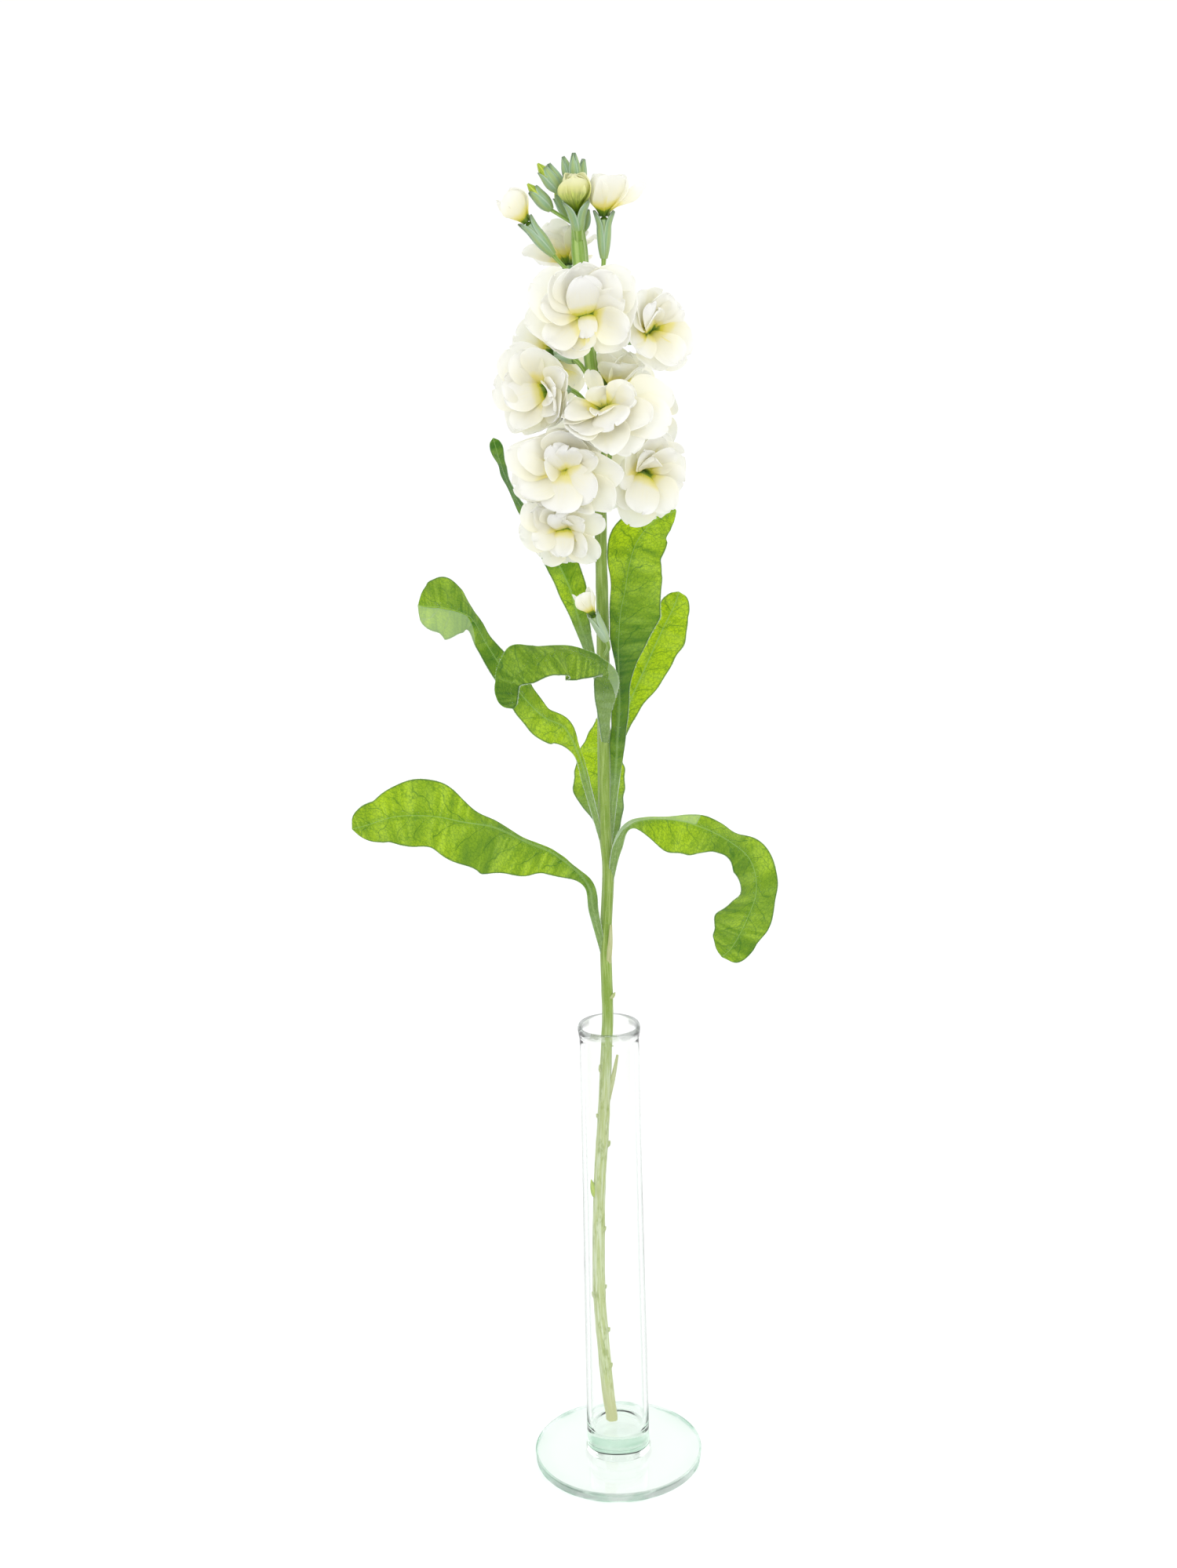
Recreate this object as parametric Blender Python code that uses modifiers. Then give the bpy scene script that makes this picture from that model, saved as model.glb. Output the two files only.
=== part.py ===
"""A cut stem of double white stock standing in a clear glass bud vase.

Metres, +Z up.  The origin is the centre of the vase's underside, and the
flower is seen from the front along +Y.  Lengths below are in millimetres
and pass through MM where they meet Blender.
"""
import math
import random

import bmesh
import bpy
from mathutils import Vector

MM = 0.001
GAP = 0.3                       # clearance between neighbouring pieces
BLADE = 0.7                     # thickness of petals, sepals and leaf blades

# The vase
VASE_HEIGHT = 200.0
FOOT_RADIUS = 35.75
FOOT_THICKNESS = 4.0
RIM_RADIUS = 12.9
NECK_RADIUS = 12.3              # outside of the tube just below the lip
BASE_RADIUS = 13.4              # outside of the tube just above the foot
WALL = 1.7
FLOOR_HEIGHT = 15.0             # top of the thick glass plug inside
VASE_SIDES = 32

# The main stem: points from its cut end to its tip, and its radius at each
STEM_POINTS = [
    (-2.6, 3.8, FLOOR_HEIGHT + GAP), (-2.6, 3.8, FLOOR_HEIGHT + GAP + 2), (-3.9, 3.0, 29),
    (-5.7, 2.4, 55), (-6.8, 2.4, 78), (-6.5, 2.8, 103), (-5.4, 4.3, 128), (-3.6, 6.0, 150),
    (-2.6, 6.9, 164), (-0.9, 7.6, 190), (-0.3, 7.9, 202),
    (-0.4, 8.4, 233), (1.2, 8.5, 263), (0.3, 8.4, 283), (0.8, 8.0, 332), (1.2, 7.6, 364),
    (1.2, 7.0, 395), (1.3, 6.0, 437), (-1.8, 5.0, 473), (-4.2, 5.0, 503), (-5.0, 5.0, 517),
]
STEM_RADII = [2.5, 2.5, 2.6, 2.6, 2.7, 2.7, 2.6, 2.6, 2.5, 2.4, 2.3,
              2.4, 2.4, 2.5, 2.5, 2.4, 2.2, 2.2, 2.4, 2.9, 2.2]

# Scars and torn leaf ends left on the stripped stem: height, direction round the stem in
# degrees (0 = right, 270 = front), reach
STUBS = [
    (210, 330, 2.0), (178, 200, 1.6), (157, 190, 1.7), (145, 340, 1.6), (125, 200, 2.3), (107, 330, 1.7),
    (80, 350, 1.6), (77, 200, 1.4), (60, 345, 1.5), (43, 335, 1.5),
]

# The leaves.  Each station is a point of the midrib, from the stem outwards: x, y, z, then
# half width and lean (degrees, + turns the half away from the front) of the half on the left
# of its growth, and the same of the right half.
LEAVES = {
    "leaf_low_left": dict(wave=1.3, waves=4.0, phase=0.0, stations=[
        (-1, 8, 225, 1, 0, 1, 0), (-5, 4, 247, 2, 0, 2, 0), (-8, -2, 262, 2, -10, 3, 60),
        (-20, -10, 276, 9, -15, 2, 75), (-31, -15, 283, 15, -15, 2, 70), (-43, -18, 290, 18, -15, 4, 60),
        (-55, -20, 293, 16, -10, 8, 45), (-67, -21, 296, 13, -10, 14, 20), (-81, -20, 296, 11, -5, 12, 10),
        (-93, -17, 292, 6, 0, 4, 5), (-99, -15, 290, 1, 0, 1, 0)]),
    "leaf_low_right": dict(wave=1.3, waves=3.5, phase=1.0, stations=[
        (2, 8, 258, 1, 0, 1, 0), (5, 4, 274, 2, 0, 2, 0), (11, 0, 285, 2, 50, 2, -30),
        (25, -6, 288, 2, 65, 12, -30), (38, -11, 286, 6, 55, 13, -30), (50, -15, 280, 7, 45, 6, -50),
        (57, -17, 273, 9, 30, 9, -40), (59, -17, 261, 9, 20, 9, -30), (55, -14, 247, 11, 10, 12, -10),
        (50, -11, 236, 6, 5, 8, 0), (46, -9, 231, 1, 0, 1, 0)]),
    "leaf_mid_left": dict(wave=0.8, waves=3.5, phase=2.0, stations=[
        (-1, 8, 276, 1, 0, 1, 0), (-6, 4, 300, 2, 0, 1, 0), (-10, 0, 315, 2, -20, 2, 40),
        (-15, -4, 326, 8, -30, 5, 60), (-23, -6, 331, 8, -30, 6, 55), (-31, -8, 340, 6, -30, 8, 50),
        (-38, -10, 351, 5, -20, 6, 50), (-44, -13, 362, 4, -20, 4, 50), (-48, -17, 371, 4, -40, 5, 60),
        (-52, -20, 375, 9, -45, 11, 50), (-59, -24, 378, 13, -40, 13, 45), (-64, -27, 379, 8, -30, 7, 40),
        (-68, -29, 380, 1, 0, 1, 40)]),
    "leaf_front": dict(wave=0.6, waves=3.0, phase=0.5, stations=[
        (1, 7, 315, 1, 0, 1, 0), (1, 0, 332, 3, 0, 3, 0), (2, -6, 343, 5, 10, 5, 10),
        (2, -14, 351, 3, -30, 3, 50), (-5, -22, 357, 8, -40, 4, 60), (-14, -30, 362, 12, -30, 3, 70),
        (-21, -37, 361, 9, -30, 7, 40), (-28, -42, 358, 7, -30, 10, 20), (-33, -45, 354, 4, -10, 7, 10),
        (-34, -45, 348, 2, 0, 3, 0), (-33, -44, 343, 1, 0, 1, 0)]),
    "leaf_right_upper": dict(wave=1.2, waves=4.0, phase=0.8, stations=[
        (2, 9, 275, 1, 0, 1, 0), (5, 7, 304, 2, 0, 2, 0), (6, 4, 319, 4, 50, 4, 30),
        (7, 2, 333, 4, 50, 4, 30), (7, 0, 345, 2, 60, 6, 20), (7, -1, 357, 4, 50, 11, 10),
        (8, -1, 370, 5, 40, 15, 10), (10, 0, 379, 8, 40, 15, 10), (12, 2, 389, 9, 30, 14, 10),
        (15, 5, 397, 11, 20, 12, 10), (21, 9, 404, 8, 10, 9, 10), (27, 12, 407, 4, 0, 5, 10),
        (31, 14, 408, 1, 0, 1, 0)]),
    "leaf_right_behind": dict(wave=1.2, waves=3.0, phase=2.2, stations=[
        (0, 9, 292, 1, 0, 1, 0), (4, 15, 310, 2, 0, 2, 0), (11, 20, 329, 5, 10, 5, 0),
        (18, 22, 344, 8, 10, 9, 0), (25, 22, 359, 8, 10, 10, 0), (30, 21, 369, 5, 10, 6, 0),
        (32, 20, 375, 1, 0, 1, 0)]),
    "leaf_behind_mid": dict(wave=1.2, waves=3.0, phase=0.3, stations=[
        (1, 9, 265, 1, 0, 1, 0), (0, 16, 281, 4, 0, 7, 0), (-1, 23, 294, 11, 0, 10, 0),
        (-1, 33, 305, 9, 0, 9, 0), (0, 45, 314, 4, 0, 4, 0), (1, 54, 318, 1, 0, 1, 0)]),
    "leaf_behind_upper": dict(wave=0.6, waves=3.0, phase=1.4, stations=[
        (0, 8, 337, 1, 0, 1, 0), (-4, 14, 352, 2, 0, 2, 0), (-8, 17, 365, 3, 0, 4, 0),
        (-12, 20, 379, 5, 0, 7, 0), (-18, 23, 391, 5, 10, 7, 10), (-26, 25, 404, 5, 50, 5, -50),
        (-33, 25, 416, 5, 70, 3, -70), (-37, 24, 427, 4, 60, 4, -60), (-40, 24, 437, 1, 0, 1, 0)]),
}

# The blooms.  throat: where the petals meet; facing: the way the bloom looks; fork: the
# height at which its stalk leaves the stem; closing: how far its petals bend back inwards.
# A petal is its direction round the bloom (0 = right, 90 = up, seen from the front), how far
# it opens from the bloom's axis, its length, its width and how far its sides cup.
BLOOMS = {
    "bloom_front_top": dict(throat=(-3, -17, 484), facing=(0.0, -1.0, 0.10), fork=455, petals=[
        (148, 76, 21, 18, 20), (190, 86, 21, 15, 12), (232, 90, 21, 15, 15), (320, 90, 20, 15, 15),
        (3, 84, 22, 14, 12), (38, 74, 21, 18, 20), (95, 58, 17, 19, 25), (257, 78, 12, 11, 25),
        (90, 46, 14, 12, 35)]),
    "bloom_right_top": dict(throat=(20, -6, 477.5), facing=(0.50, -0.82, 0.25), fork=450, petals=[
        (115, 60, 14, 15, 25), (62, 72, 14, 14, 15), (12, 80, 13, 12, 15), (325, 86, 17, 17, 15),
        (272, 88, 14, 15, 15), (185, 74, 14, 12, 20), (95, 25, 10, 9, 40)]),
    "bloom_left_top": dict(throat=(-17.5, -10, 457), facing=(-0.50, -0.85, 0.05), fork=436, petals=[
        (130, 72, 19, 17, 20), (178, 80, 19, 15, 15), (222, 86, 19, 15, 15), (268, 86, 20, 16, 20),
        (78, 66, 16, 15, 20), (15, 66, 17, 12, 25), (320, 45, 14, 10, 30)]),
    "bloom_front_mid": dict(throat=(4, -18, 449), facing=(-0.10, -0.72, 0.68), fork=402, petals=[
        (185, 80, 24, 13, 15), (220, 92, 23, 16, 20), (258, 98, 19, 16, 20), (300, 96, 20, 15, 15),
        (338, 88, 24, 16, 15), (12, 82, 24, 15, 15), (95, 52, 8, 13, 25), (258, 40, 10, 9, 45)]),
    "bloom_left_low": dict(throat=(-10.5, -15, 428), facing=(-0.25, -0.96, 0.05), fork=405, petals=[
        (158, 76, 22, 17, 15), (197, 84, 20, 15, 15), (236, 88, 22, 17, 15), (276, 90, 22, 17, 20),
        (320, 84, 22, 15, 15), (3, 76, 24, 14, 20), (80, 60, 17, 16, 25), (150, 30, 11, 10, 45)]),
    "bloom_right_low": dict(throat=(17, -3, 425), facing=(0.40, -0.90, -0.05), fork=396, petals=[
        (212, 74, 16, 13, 25), (250, 84, 19, 15, 20), (290, 86, 17, 15, 20), (332, 82, 15, 14, 15),
        (20, 80, 16, 15, 15), (65, 76, 16, 14, 15), (125, 64, 16, 15, 20), (80, 28, 10, 9, 40)]),
    "bloom_bottom": dict(throat=(-12.5, -9, 405.5), facing=(-0.25, -0.94, -0.12), fork=380, petals=[
        (318, 78, 16, 12, 20), (275, 86, 12, 14, 20), (232, 88, 14, 13, 15), (188, 82, 16, 12, 15),
        (140, 78, 16, 14, 15), (88, 60, 12, 14, 20), (20, 72, 17, 12, 20), (60, 28, 9, 8, 40)]),
    "bloom_back_top": dict(throat=(-9, 14, 502), facing=(-0.15, 0.35, 0.92), fork=484, petals=[
        (185, 62, 16, 12, 15), (240, 30, 16, 11, 20), (320, 34, 15, 11, 20), (10, 48, 15, 11, 15),
        (65, 66, 15, 13, 15), (125, 66, 15, 13, 15)]),
    "bloom_middle": dict(throat=(7, 6, 455), facing=(0.25, -0.20, 0.95), fork=432, petals=[
        (200, 26, 15, 13, 30), (268, 30, 15, 14, 30), (335, 34, 15, 13, 30), (45, 60, 15, 14, 20),
        (120, 60, 15, 13, 20)]),
    "bloom_back_left": dict(throat=(-14, 21, 470), facing=(-0.45, 0.85, 0.20), fork=448, petals=[
        (20, 82, 17, 15, 15), (92, 80, 17, 15, 15), (165, 84, 16, 15, 15), (235, 84, 16, 15, 15),
        (306, 84, 17, 15, 15), (60, 45, 12, 12, 30)]),
    "bloom_back_right": dict(throat=(16, 24, 446), facing=(0.50, 0.84, 0.20), fork=424, petals=[
        (10, 82, 17, 15, 15), (82, 80, 17, 15, 15), (155, 84, 16, 15, 15), (228, 84, 17, 15, 15),
        (300, 84, 17, 15, 15), (100, 45, 12, 12, 30)]),
    "bloom_back_low": dict(throat=(0, 27, 424), facing=(-0.05, 0.98, 0.10), fork=404, petals=[
        (15, 82, 17, 15, 15), (88, 80, 17, 15, 15), (160, 84, 16, 15, 15), (232, 84, 17, 15, 15),
        (304, 84, 17, 15, 15), (80, 45, 12, 12, 30)]),
    "opening_bud_left": dict(throat=(-23.5, 1, 517.5),
                     facing=(-0.62, -0.10, 0.78), fork=486, closing=60, petals=[
        (10, 34, 13, 13, 55), (130, 34, 13, 13, 55), (250, 34, 13, 13, 55)]),
    "opening_bud_top": dict(throat=(-5, -1, 521),
                     facing=(-0.05, -0.30, 0.95), fork=508, closing=45, petals=[
        (30, 30, 13, 13, 50), (150, 30, 13, 13, 50), (270, 30, 13, 13, 50)]),
    "opening_bud_right": dict(throat=(5, 0, 519),
                     facing=(0.02, -0.08, 1.0), fork=476, closing=30, petals=[
        (200, 38, 15, 17, 35), (285, 36, 15, 17, 35), (20, 38, 15, 15, 35), (110, 36, 15, 16, 35),
        (352, 62, 18, 8, 20)]),
    "opening_bud_small": dict(throat=(-2.5, -3, 370.5),
                     facing=(-0.42, -0.15, 0.90), fork=348, closing=25, petals=[
        (180, 24, 10, 8, 40), (270, 24, 10, 8, 40), (0, 24, 10, 8, 40)]),
}

# Torn strips: height of its root, height of its free end, how far that stands off, direction
TORN_STRIPS = [(164, 184, 2.6, 340), (224, 241, 1.2, 300)]

# Faces along and across a blade, and the shapes that all blooms share
PETAL_ROWS = 3
PETAL_COLUMNS = 2
LEAF_ROWS = 13
LEAF_COLUMNS = 4
LEAF_THICKNESS = 0.8
SHINGLE = 0.22                  # each petal laps over the next like a shingle, by this slope
PETAL_CORE = 2.2                # ball at a bloom's throat that the petals grow from
CALYX_LENGTH = 12.5              # on every bloom but those named next
CALYX_LENGTHS = {"opening_bud_top": 4.0, "opening_bud_small": 9.5}
CALYX_RADIUS = 2.5
STALK_RADIUS = 1.05
CALYX_PROFILE = [(0.0, 0.50), (0.18, 0.98), (0.60, 0.92), (1.0, 0.80)]
SEPAL_BLOOMS = {
    "opening_bud_left": 14, "opening_bud_top": 16, "opening_bud_right": 30, "opening_bud_small": 16}

# The closed green buds at the tip: base, tip and radius
BUDS = [
    ((-9.0, 4.0, 526.0), (-15.0, 3.0, 538.5), 2.7), ((-6.5, 4.5, 530.0), (-9.6, 5.5, 541.0), 2.2),
    ((-5.2, 3.0, 530.0), (-5.6, 1.0, 542.0), 2.3), ((-4.0, 5.0, 529.0), (-2.0, 6.0, 540.0), 2.2),
    ((-11.5, 1.5, 528.5), (-19.0, 0.0, 538.5), 2.9), ((-14.5, 2.5, 522.0), (-23.0, 2.0, 531.5), 2.8),
    ((-8.5, 8.0, 520.0), (-13.0, 11.0, 529.0), 2.3), ((-2.4, 9.0, 514.5), (-0.6, 12.0, 522.0), 1.8),
    ((-4.0, 9.0, 524.0), (-3.0, 14.0, 534.0), 2.4), ((-8.5, 9.0, 525.0), (-12.0, 14.0, 535.0), 2.3),
]
BUD_PROFILE = [(0.0, 0.35), (0.15, 0.80), (0.45, 1.0), (0.75, 0.80), (1.0, 0.30)]


def new_collection(name):
    """A collection linked to the scene."""
    collection = bpy.data.collections.new(name)
    bpy.context.scene.collection.children.link(collection)
    return collection


def surface_material(name, colour, roughness, alpha=1.0, transmission=0.0):
    """A Principled material in the piece's own colour."""
    material = bpy.data.materials.new(name)
    material.use_nodes = True
    shader = material.node_tree.nodes["Principled BSDF"]
    shader.inputs["Base Color"].default_value = (*colour, 1.0)
    shader.inputs["Roughness"].default_value = roughness
    shader.inputs["Metallic"].default_value = 0.0
    shader.inputs["Alpha"].default_value = alpha
    shader.inputs["Transmission Weight"].default_value = transmission
    return material


def fixed_mesh(piece):
    """Swap the object's mesh for the one its modifiers make."""
    graph = bpy.context.evaluated_depsgraph_get()
    mesh = bpy.data.meshes.new_from_object(piece.evaluated_get(graph))
    piece.modifiers.clear()
    piece.data = mesh


def smooth_shading(piece, angle=40.0):
    """Smooth faces with crisp edges past the angle."""
    piece.data.shade_smooth()
    piece.data.set_sharp_from_angle(angle=math.radians(angle))


def ease(share):
    """0 to 1 with a soft start and a soft end."""
    share = min(1.0, max(0.0, share))
    return share * share * (3.0 - 2.0 * share)


def through(rows, count):
    """Rows spread evenly along the smooth curve through the given ones, which start with a place."""
    first = [2 * a - b for a, b in zip(rows[0], rows[1])]
    last = [2 * a - b for a, b in zip(rows[-1], rows[-2])]
    guides = [first, *rows, last]
    fine = []
    for index in range(len(rows) - 1):
        p0, p1, p2, p3 = guides[index:index + 4]
        for step in range(12):
            t = step / 12
            fine.append([0.5 * (2 * b + (c - a) * t + (2 * a - 5 * b + 4 * c - d) * t * t
                                + (3 * b - a - 3 * c + d) * t ** 3)
                         for a, b, c, d in zip(p0, p1, p2, p3)])
    fine.append(list(rows[-1]))
    reach = [0.0]
    for here, there in zip(fine, fine[1:]):
        reach.append(reach[-1] + math.dist(here[:3], there[:3]))
    spread = []
    index = 0
    for step in range(count):
        goal = reach[-1] * step / (count - 1)
        while index < len(reach) - 2 and reach[index + 1] < goal:
            index += 1
        part = (goal - reach[index]) / max(1e-9, reach[index + 1] - reach[index])
        spread.append([a + (b - a) * part for a, b in zip(fine[index], fine[index + 1])])
    return spread


def stem_at(height):
    """Centre of the main stem at a height."""
    for lower, upper in zip(STEM_POINTS, STEM_POINTS[1:]):
        if lower[2] <= height <= upper[2]:
            return Vector(lower).lerp(Vector(upper), (height - lower[2]) / (upper[2] - lower[2]))
    return Vector(STEM_POINTS[-1])


def tube(name, points, radii, roundness, collection):
    """A closed round bar along the points, with a radius at each."""
    curve = bpy.data.curves.new(name, "CURVE")
    curve.dimensions = "3D"
    curve.bevel_depth = MM
    curve.bevel_resolution = roundness
    curve.use_fill_caps = True
    spline = curve.splines.new("POLY")
    spline.points.add(len(points) - 1)
    for point, place, radius in zip(spline.points, points, radii):
        point.co = (place[0] * MM, place[1] * MM, place[2] * MM, 1.0)
        point.radius = radius
    drawn = bpy.data.objects.new(name + "_curve", curve)
    collection.objects.link(drawn)
    graph = bpy.context.evaluated_depsgraph_get()
    mesh = bpy.data.meshes.new_from_object(drawn.evaluated_get(graph))
    piece = bpy.data.objects.new(name, mesh)
    piece.matrix_world = drawn.matrix_world
    collection.objects.link(piece)
    bpy.data.objects.remove(drawn)
    form = bmesh.new()
    form.from_mesh(mesh)
    bmesh.ops.remove_doubles(form, verts=form.verts, dist=1e-6)
    bmesh.ops.recalc_face_normals(form, faces=form.faces)
    form.to_mesh(mesh)
    form.free()
    return piece


def sheet(name, lengthwise, crosswise, place, thickness, collection):
    """A thin closed blade: place(along, across) gives the middle of it, along 0 to 1 and across -1 to 1."""
    form = bmesh.new()
    bmesh.ops.create_grid(form, x_segments=lengthwise, y_segments=crosswise, size=1.0)
    for vert in form.verts:
        vert.co = place((vert.co.x + 1.0) / 2.0, vert.co.y) * MM
    bmesh.ops.triangulate(form, faces=form.faces, quad_method="FIXED")
    mesh = bpy.data.meshes.new(name)
    form.to_mesh(mesh)
    form.free()
    piece = bpy.data.objects.new(name, mesh)
    collection.objects.link(piece)
    solidify = piece.modifiers.new("thickness", "SOLIDIFY")
    solidify.thickness = thickness * MM
    solidify.offset = 0.0
    solidify.use_even_offset = False
    fixed_mesh(piece)
    return piece


def join_all(piece, others):
    """Fuse the collection's objects into the piece and remove them."""
    union = piece.modifiers.new("joined", "BOOLEAN")
    union.operation = "UNION"
    union.operand_type = "COLLECTION"
    union.collection = others
    union.solver = "EXACT"
    fixed_mesh(piece)
    for other in list(others.objects):
        bpy.data.objects.remove(other)
    bpy.data.collections.remove(others)


def cut_clear(piece, cutter):
    """Take the cutter's room out of the piece."""
    cut = piece.modifiers.new("clear", "BOOLEAN")
    cut.operation = "DIFFERENCE"
    cut.object = cutter
    cut.solver = "EXACT"
    fixed_mesh(piece)


def keep_largest(piece):
    """Drop loose scraps and sealed hollows, and split faces into triangles."""
    form = bmesh.new()
    form.from_mesh(piece.data)
    bmesh.ops.remove_doubles(form, verts=form.verts, dist=1e-6)
    bmesh.ops.dissolve_degenerate(form, edges=form.edges, dist=1e-6)
    bmesh.ops.triangulate(form, faces=form.faces)
    waiting = set(form.faces)
    islands = []
    while waiting:
        island = [waiting.pop()]
        for face in island:
            for edge in face.edges:
                for other in edge.link_faces:
                    if other in waiting:
                        waiting.discard(other)
                        island.append(other)
        islands.append(island)
    largest = max(islands, key=lambda island: sum(face.calc_area() for face in island))
    doomed = [face for island in islands if island is not largest for face in island]
    bmesh.ops.delete(form, geom=doomed, context="FACES")
    form.to_mesh(piece.data)
    form.free()


def vase_profile():
    """Half section of the vase: up the inside, over the lip and down the outside to the underside."""
    inner_low = BASE_RADIUS - WALL - 0.2
    inner_high = NECK_RADIUS - WALL
    height = VASE_HEIGHT
    return [
        (0.0, FLOOR_HEIGHT), (inner_low - 3.0, FLOOR_HEIGHT), (inner_low - 0.9, FLOOR_HEIGHT + 0.8),
        (inner_low, FLOOR_HEIGHT + 4.0), (inner_low - 0.5, 90.0), (inner_high, height - 12.0),
        (inner_high + 0.3, height - 2.5), (RIM_RADIUS - 1.1, height - 0.2), (RIM_RADIUS - 0.5, height),
        (RIM_RADIUS, height - 0.9), (RIM_RADIUS - 0.25, height - 2.4), (NECK_RADIUS, height - 8.0),
        (NECK_RADIUS + 0.2, 140.0), (BASE_RADIUS - 0.4, 80.0), (BASE_RADIUS, 22.0),
        (BASE_RADIUS + 0.4, FOOT_THICKNESS + 5.0), (BASE_RADIUS + 2.2, FOOT_THICKNESS + 1.6),
        (BASE_RADIUS + 6.0, FOOT_THICKNESS + 0.5), (FOOT_RADIUS - 1.6, FOOT_THICKNESS),
        (FOOT_RADIUS - 0.3, FOOT_THICKNESS - 0.8), (FOOT_RADIUS, FOOT_THICKNESS / 2),
        (FOOT_RADIUS - 0.3, 0.6), (FOOT_RADIUS - 1.0, 0.0), (0.0, 0.0),
    ]


def make_vase(collection, material):
    """The glass: a straight tube on a thick plug and a flat disc foot, turned in one piece."""
    mesh = bpy.data.meshes.new("vase")
    profile = vase_profile()
    points = [(radius * MM, 0.0, height * MM) for radius, height in profile]
    mesh.from_pydata(points, [(index, index + 1) for index in range(len(points) - 1)], [])
    vase = bpy.data.objects.new("vase", mesh)
    collection.objects.link(vase)
    turn = vase.modifiers.new("turned", "SCREW")
    turn.steps = VASE_SIDES
    turn.render_steps = VASE_SIDES
    turn.use_merge_vertices = True
    turn.merge_threshold = 0.00001
    fixed_mesh(vase)
    smooth_shading(vase)
    vase.data.materials.append(material)
    return vase


def bloom_frame(bloom):
    """Throat, axis and the two directions across a bloom."""
    throat = Vector(bloom["throat"])
    axis = Vector(bloom["facing"]).normalized()
    right = Vector((0.0, 0.0, 1.0)).cross(axis)
    if axis.z > 0.88:
        right = Vector((1.0, 0.0, 0.0)) - axis * axis.x
    right.normalize()
    return throat, axis, right, axis.cross(right)


def stalk_line(name, bloom):
    """Places and radii from the main stem, along the stalk, to the top of the calyx."""
    throat, axis, _, _ = bloom_frame(bloom)
    top = throat - axis * (PETAL_CORE + GAP)
    base = top - axis * CALYX_LENGTHS.get(name, CALYX_LENGTH)
    start = stem_at(bloom["fork"])
    span = (base - start).length
    rise = start + Vector((0.0, 0.0, 0.45 * span))
    meet = base - axis * 0.35 * span
    points = []
    radii = []
    for step in range(4):
        t = step / 4
        points.append(start * (1 - t) ** 3 + rise * 3 * t * (1 - t) ** 2
                      + meet * 3 * t * t * (1 - t) + base * t ** 3)
        radii.append(STALK_RADIUS)
    for share, width in CALYX_PROFILE:
        points.append(base.lerp(top, share))
        radii.append(CALYX_RADIUS * width)
    return points, radii


def petal_place(bloom, petal, seed):
    """The middle surface of one petal as a function of the way along it and across it."""
    throat, axis, right, up = bloom_frame(bloom)
    turn, opening, length, width, cup = petal
    draw = random.Random(seed)
    bend = -bloom["closing"] if "closing" in bloom else draw.uniform(0.0, 25.0)
    ripple = draw.uniform(0.5, 1.0)
    phase = draw.uniform(0.0, 6.28)
    outward = right * math.cos(math.radians(turn)) + up * math.sin(math.radians(turn))
    across_way = axis.cross(outward)

    def place(along, across):
        spot = throat + outward * 1.0 + axis * 0.3
        angle = 0.0
        steps = 12
        for step in range(steps):
            share = (step + 0.5) / steps * along
            angle = math.radians(opening * (0.5 + 0.5 * ease(share / 0.3))
                                 + bend * max(0.0, share - 0.4) / 0.6)
            spot = spot + (outward * math.sin(angle) + axis * math.cos(angle)) * (length * along / steps)
        inward = axis * math.sin(angle) - outward * math.cos(angle)
        if along < 0.62:
            share = 0.20 + 0.80 * ease(along / 0.62)
        else:
            share = math.sqrt(max(0.0, 1.0 - ((along - 0.62) / 0.42) ** 2))
        half = max(0.6, width / 2 * share)
        roll = math.radians(cup) * across
        radius = half / math.radians(cup)
        wave = ripple * math.sin(phase + 4.2 * along + 2.2 * across) * share * along
        lift = radius * (1 - math.cos(roll)) + wave + SHINGLE * half * across
        return spot + across_way * radius * math.sin(roll) + inward * lift

    return place


def bloom_middle(bloom):
    """Centre and reach of the room that a bloom fills."""
    throat, axis, _, _ = bloom_frame(bloom)
    reach = sum(petal[2] for petal in bloom["petals"]) / len(bloom["petals"])
    return throat + axis * 4.0, reach


def pressed_clear(name, spot):
    """Bend a bloom's point back from its neighbours, so crowded blooms press together and never cross."""
    centre, reach = bloom_middle(BLOOMS[name])
    for other_name, other in BLOOMS.items():
        if other_name == name:
            continue
        other_centre, other_reach = bloom_middle(other)
        away = other_centre - centre
        limit = away.length * reach / (reach + other_reach) - (BLADE / 2 + GAP)
        away.normalize()
        depth = (spot - centre).dot(away)
        free = 0.65 * limit
        if depth > free:
            room = limit - free
            spot = spot - away * (depth - free - room * (1.0 - math.exp((free - depth) / room)))
    return spot


def make_bloom(name, collection, material, clearance):
    """One bloom's petals, fused where they meet at the throat."""
    bloom = BLOOMS[name]
    throat, axis, _, _ = bloom_frame(bloom)
    form = bmesh.new()
    bmesh.ops.create_icosphere(form, subdivisions=1, radius=PETAL_CORE * MM)
    bmesh.ops.translate(form, verts=form.verts, vec=throat * MM)
    mesh = bpy.data.meshes.new(name)
    form.to_mesh(mesh)
    form.free()
    piece = bpy.data.objects.new(name, mesh)
    collection.objects.link(piece)
    petals = new_collection(name + "_petals")
    for index, petal in enumerate(bloom["petals"]):
        place = petal_place(bloom, petal, name + str(index))
        sheet(name + "_petal", PETAL_ROWS, PETAL_COLUMNS,
              lambda along, across: pressed_clear(name, place(along, across)), BLADE, petals)
    join_all(piece, petals)
    cut_clear(piece, clearance)
    keep_largest(piece)
    piece.data.materials.clear()
    piece.data.materials.append(material)
    return piece


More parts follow.
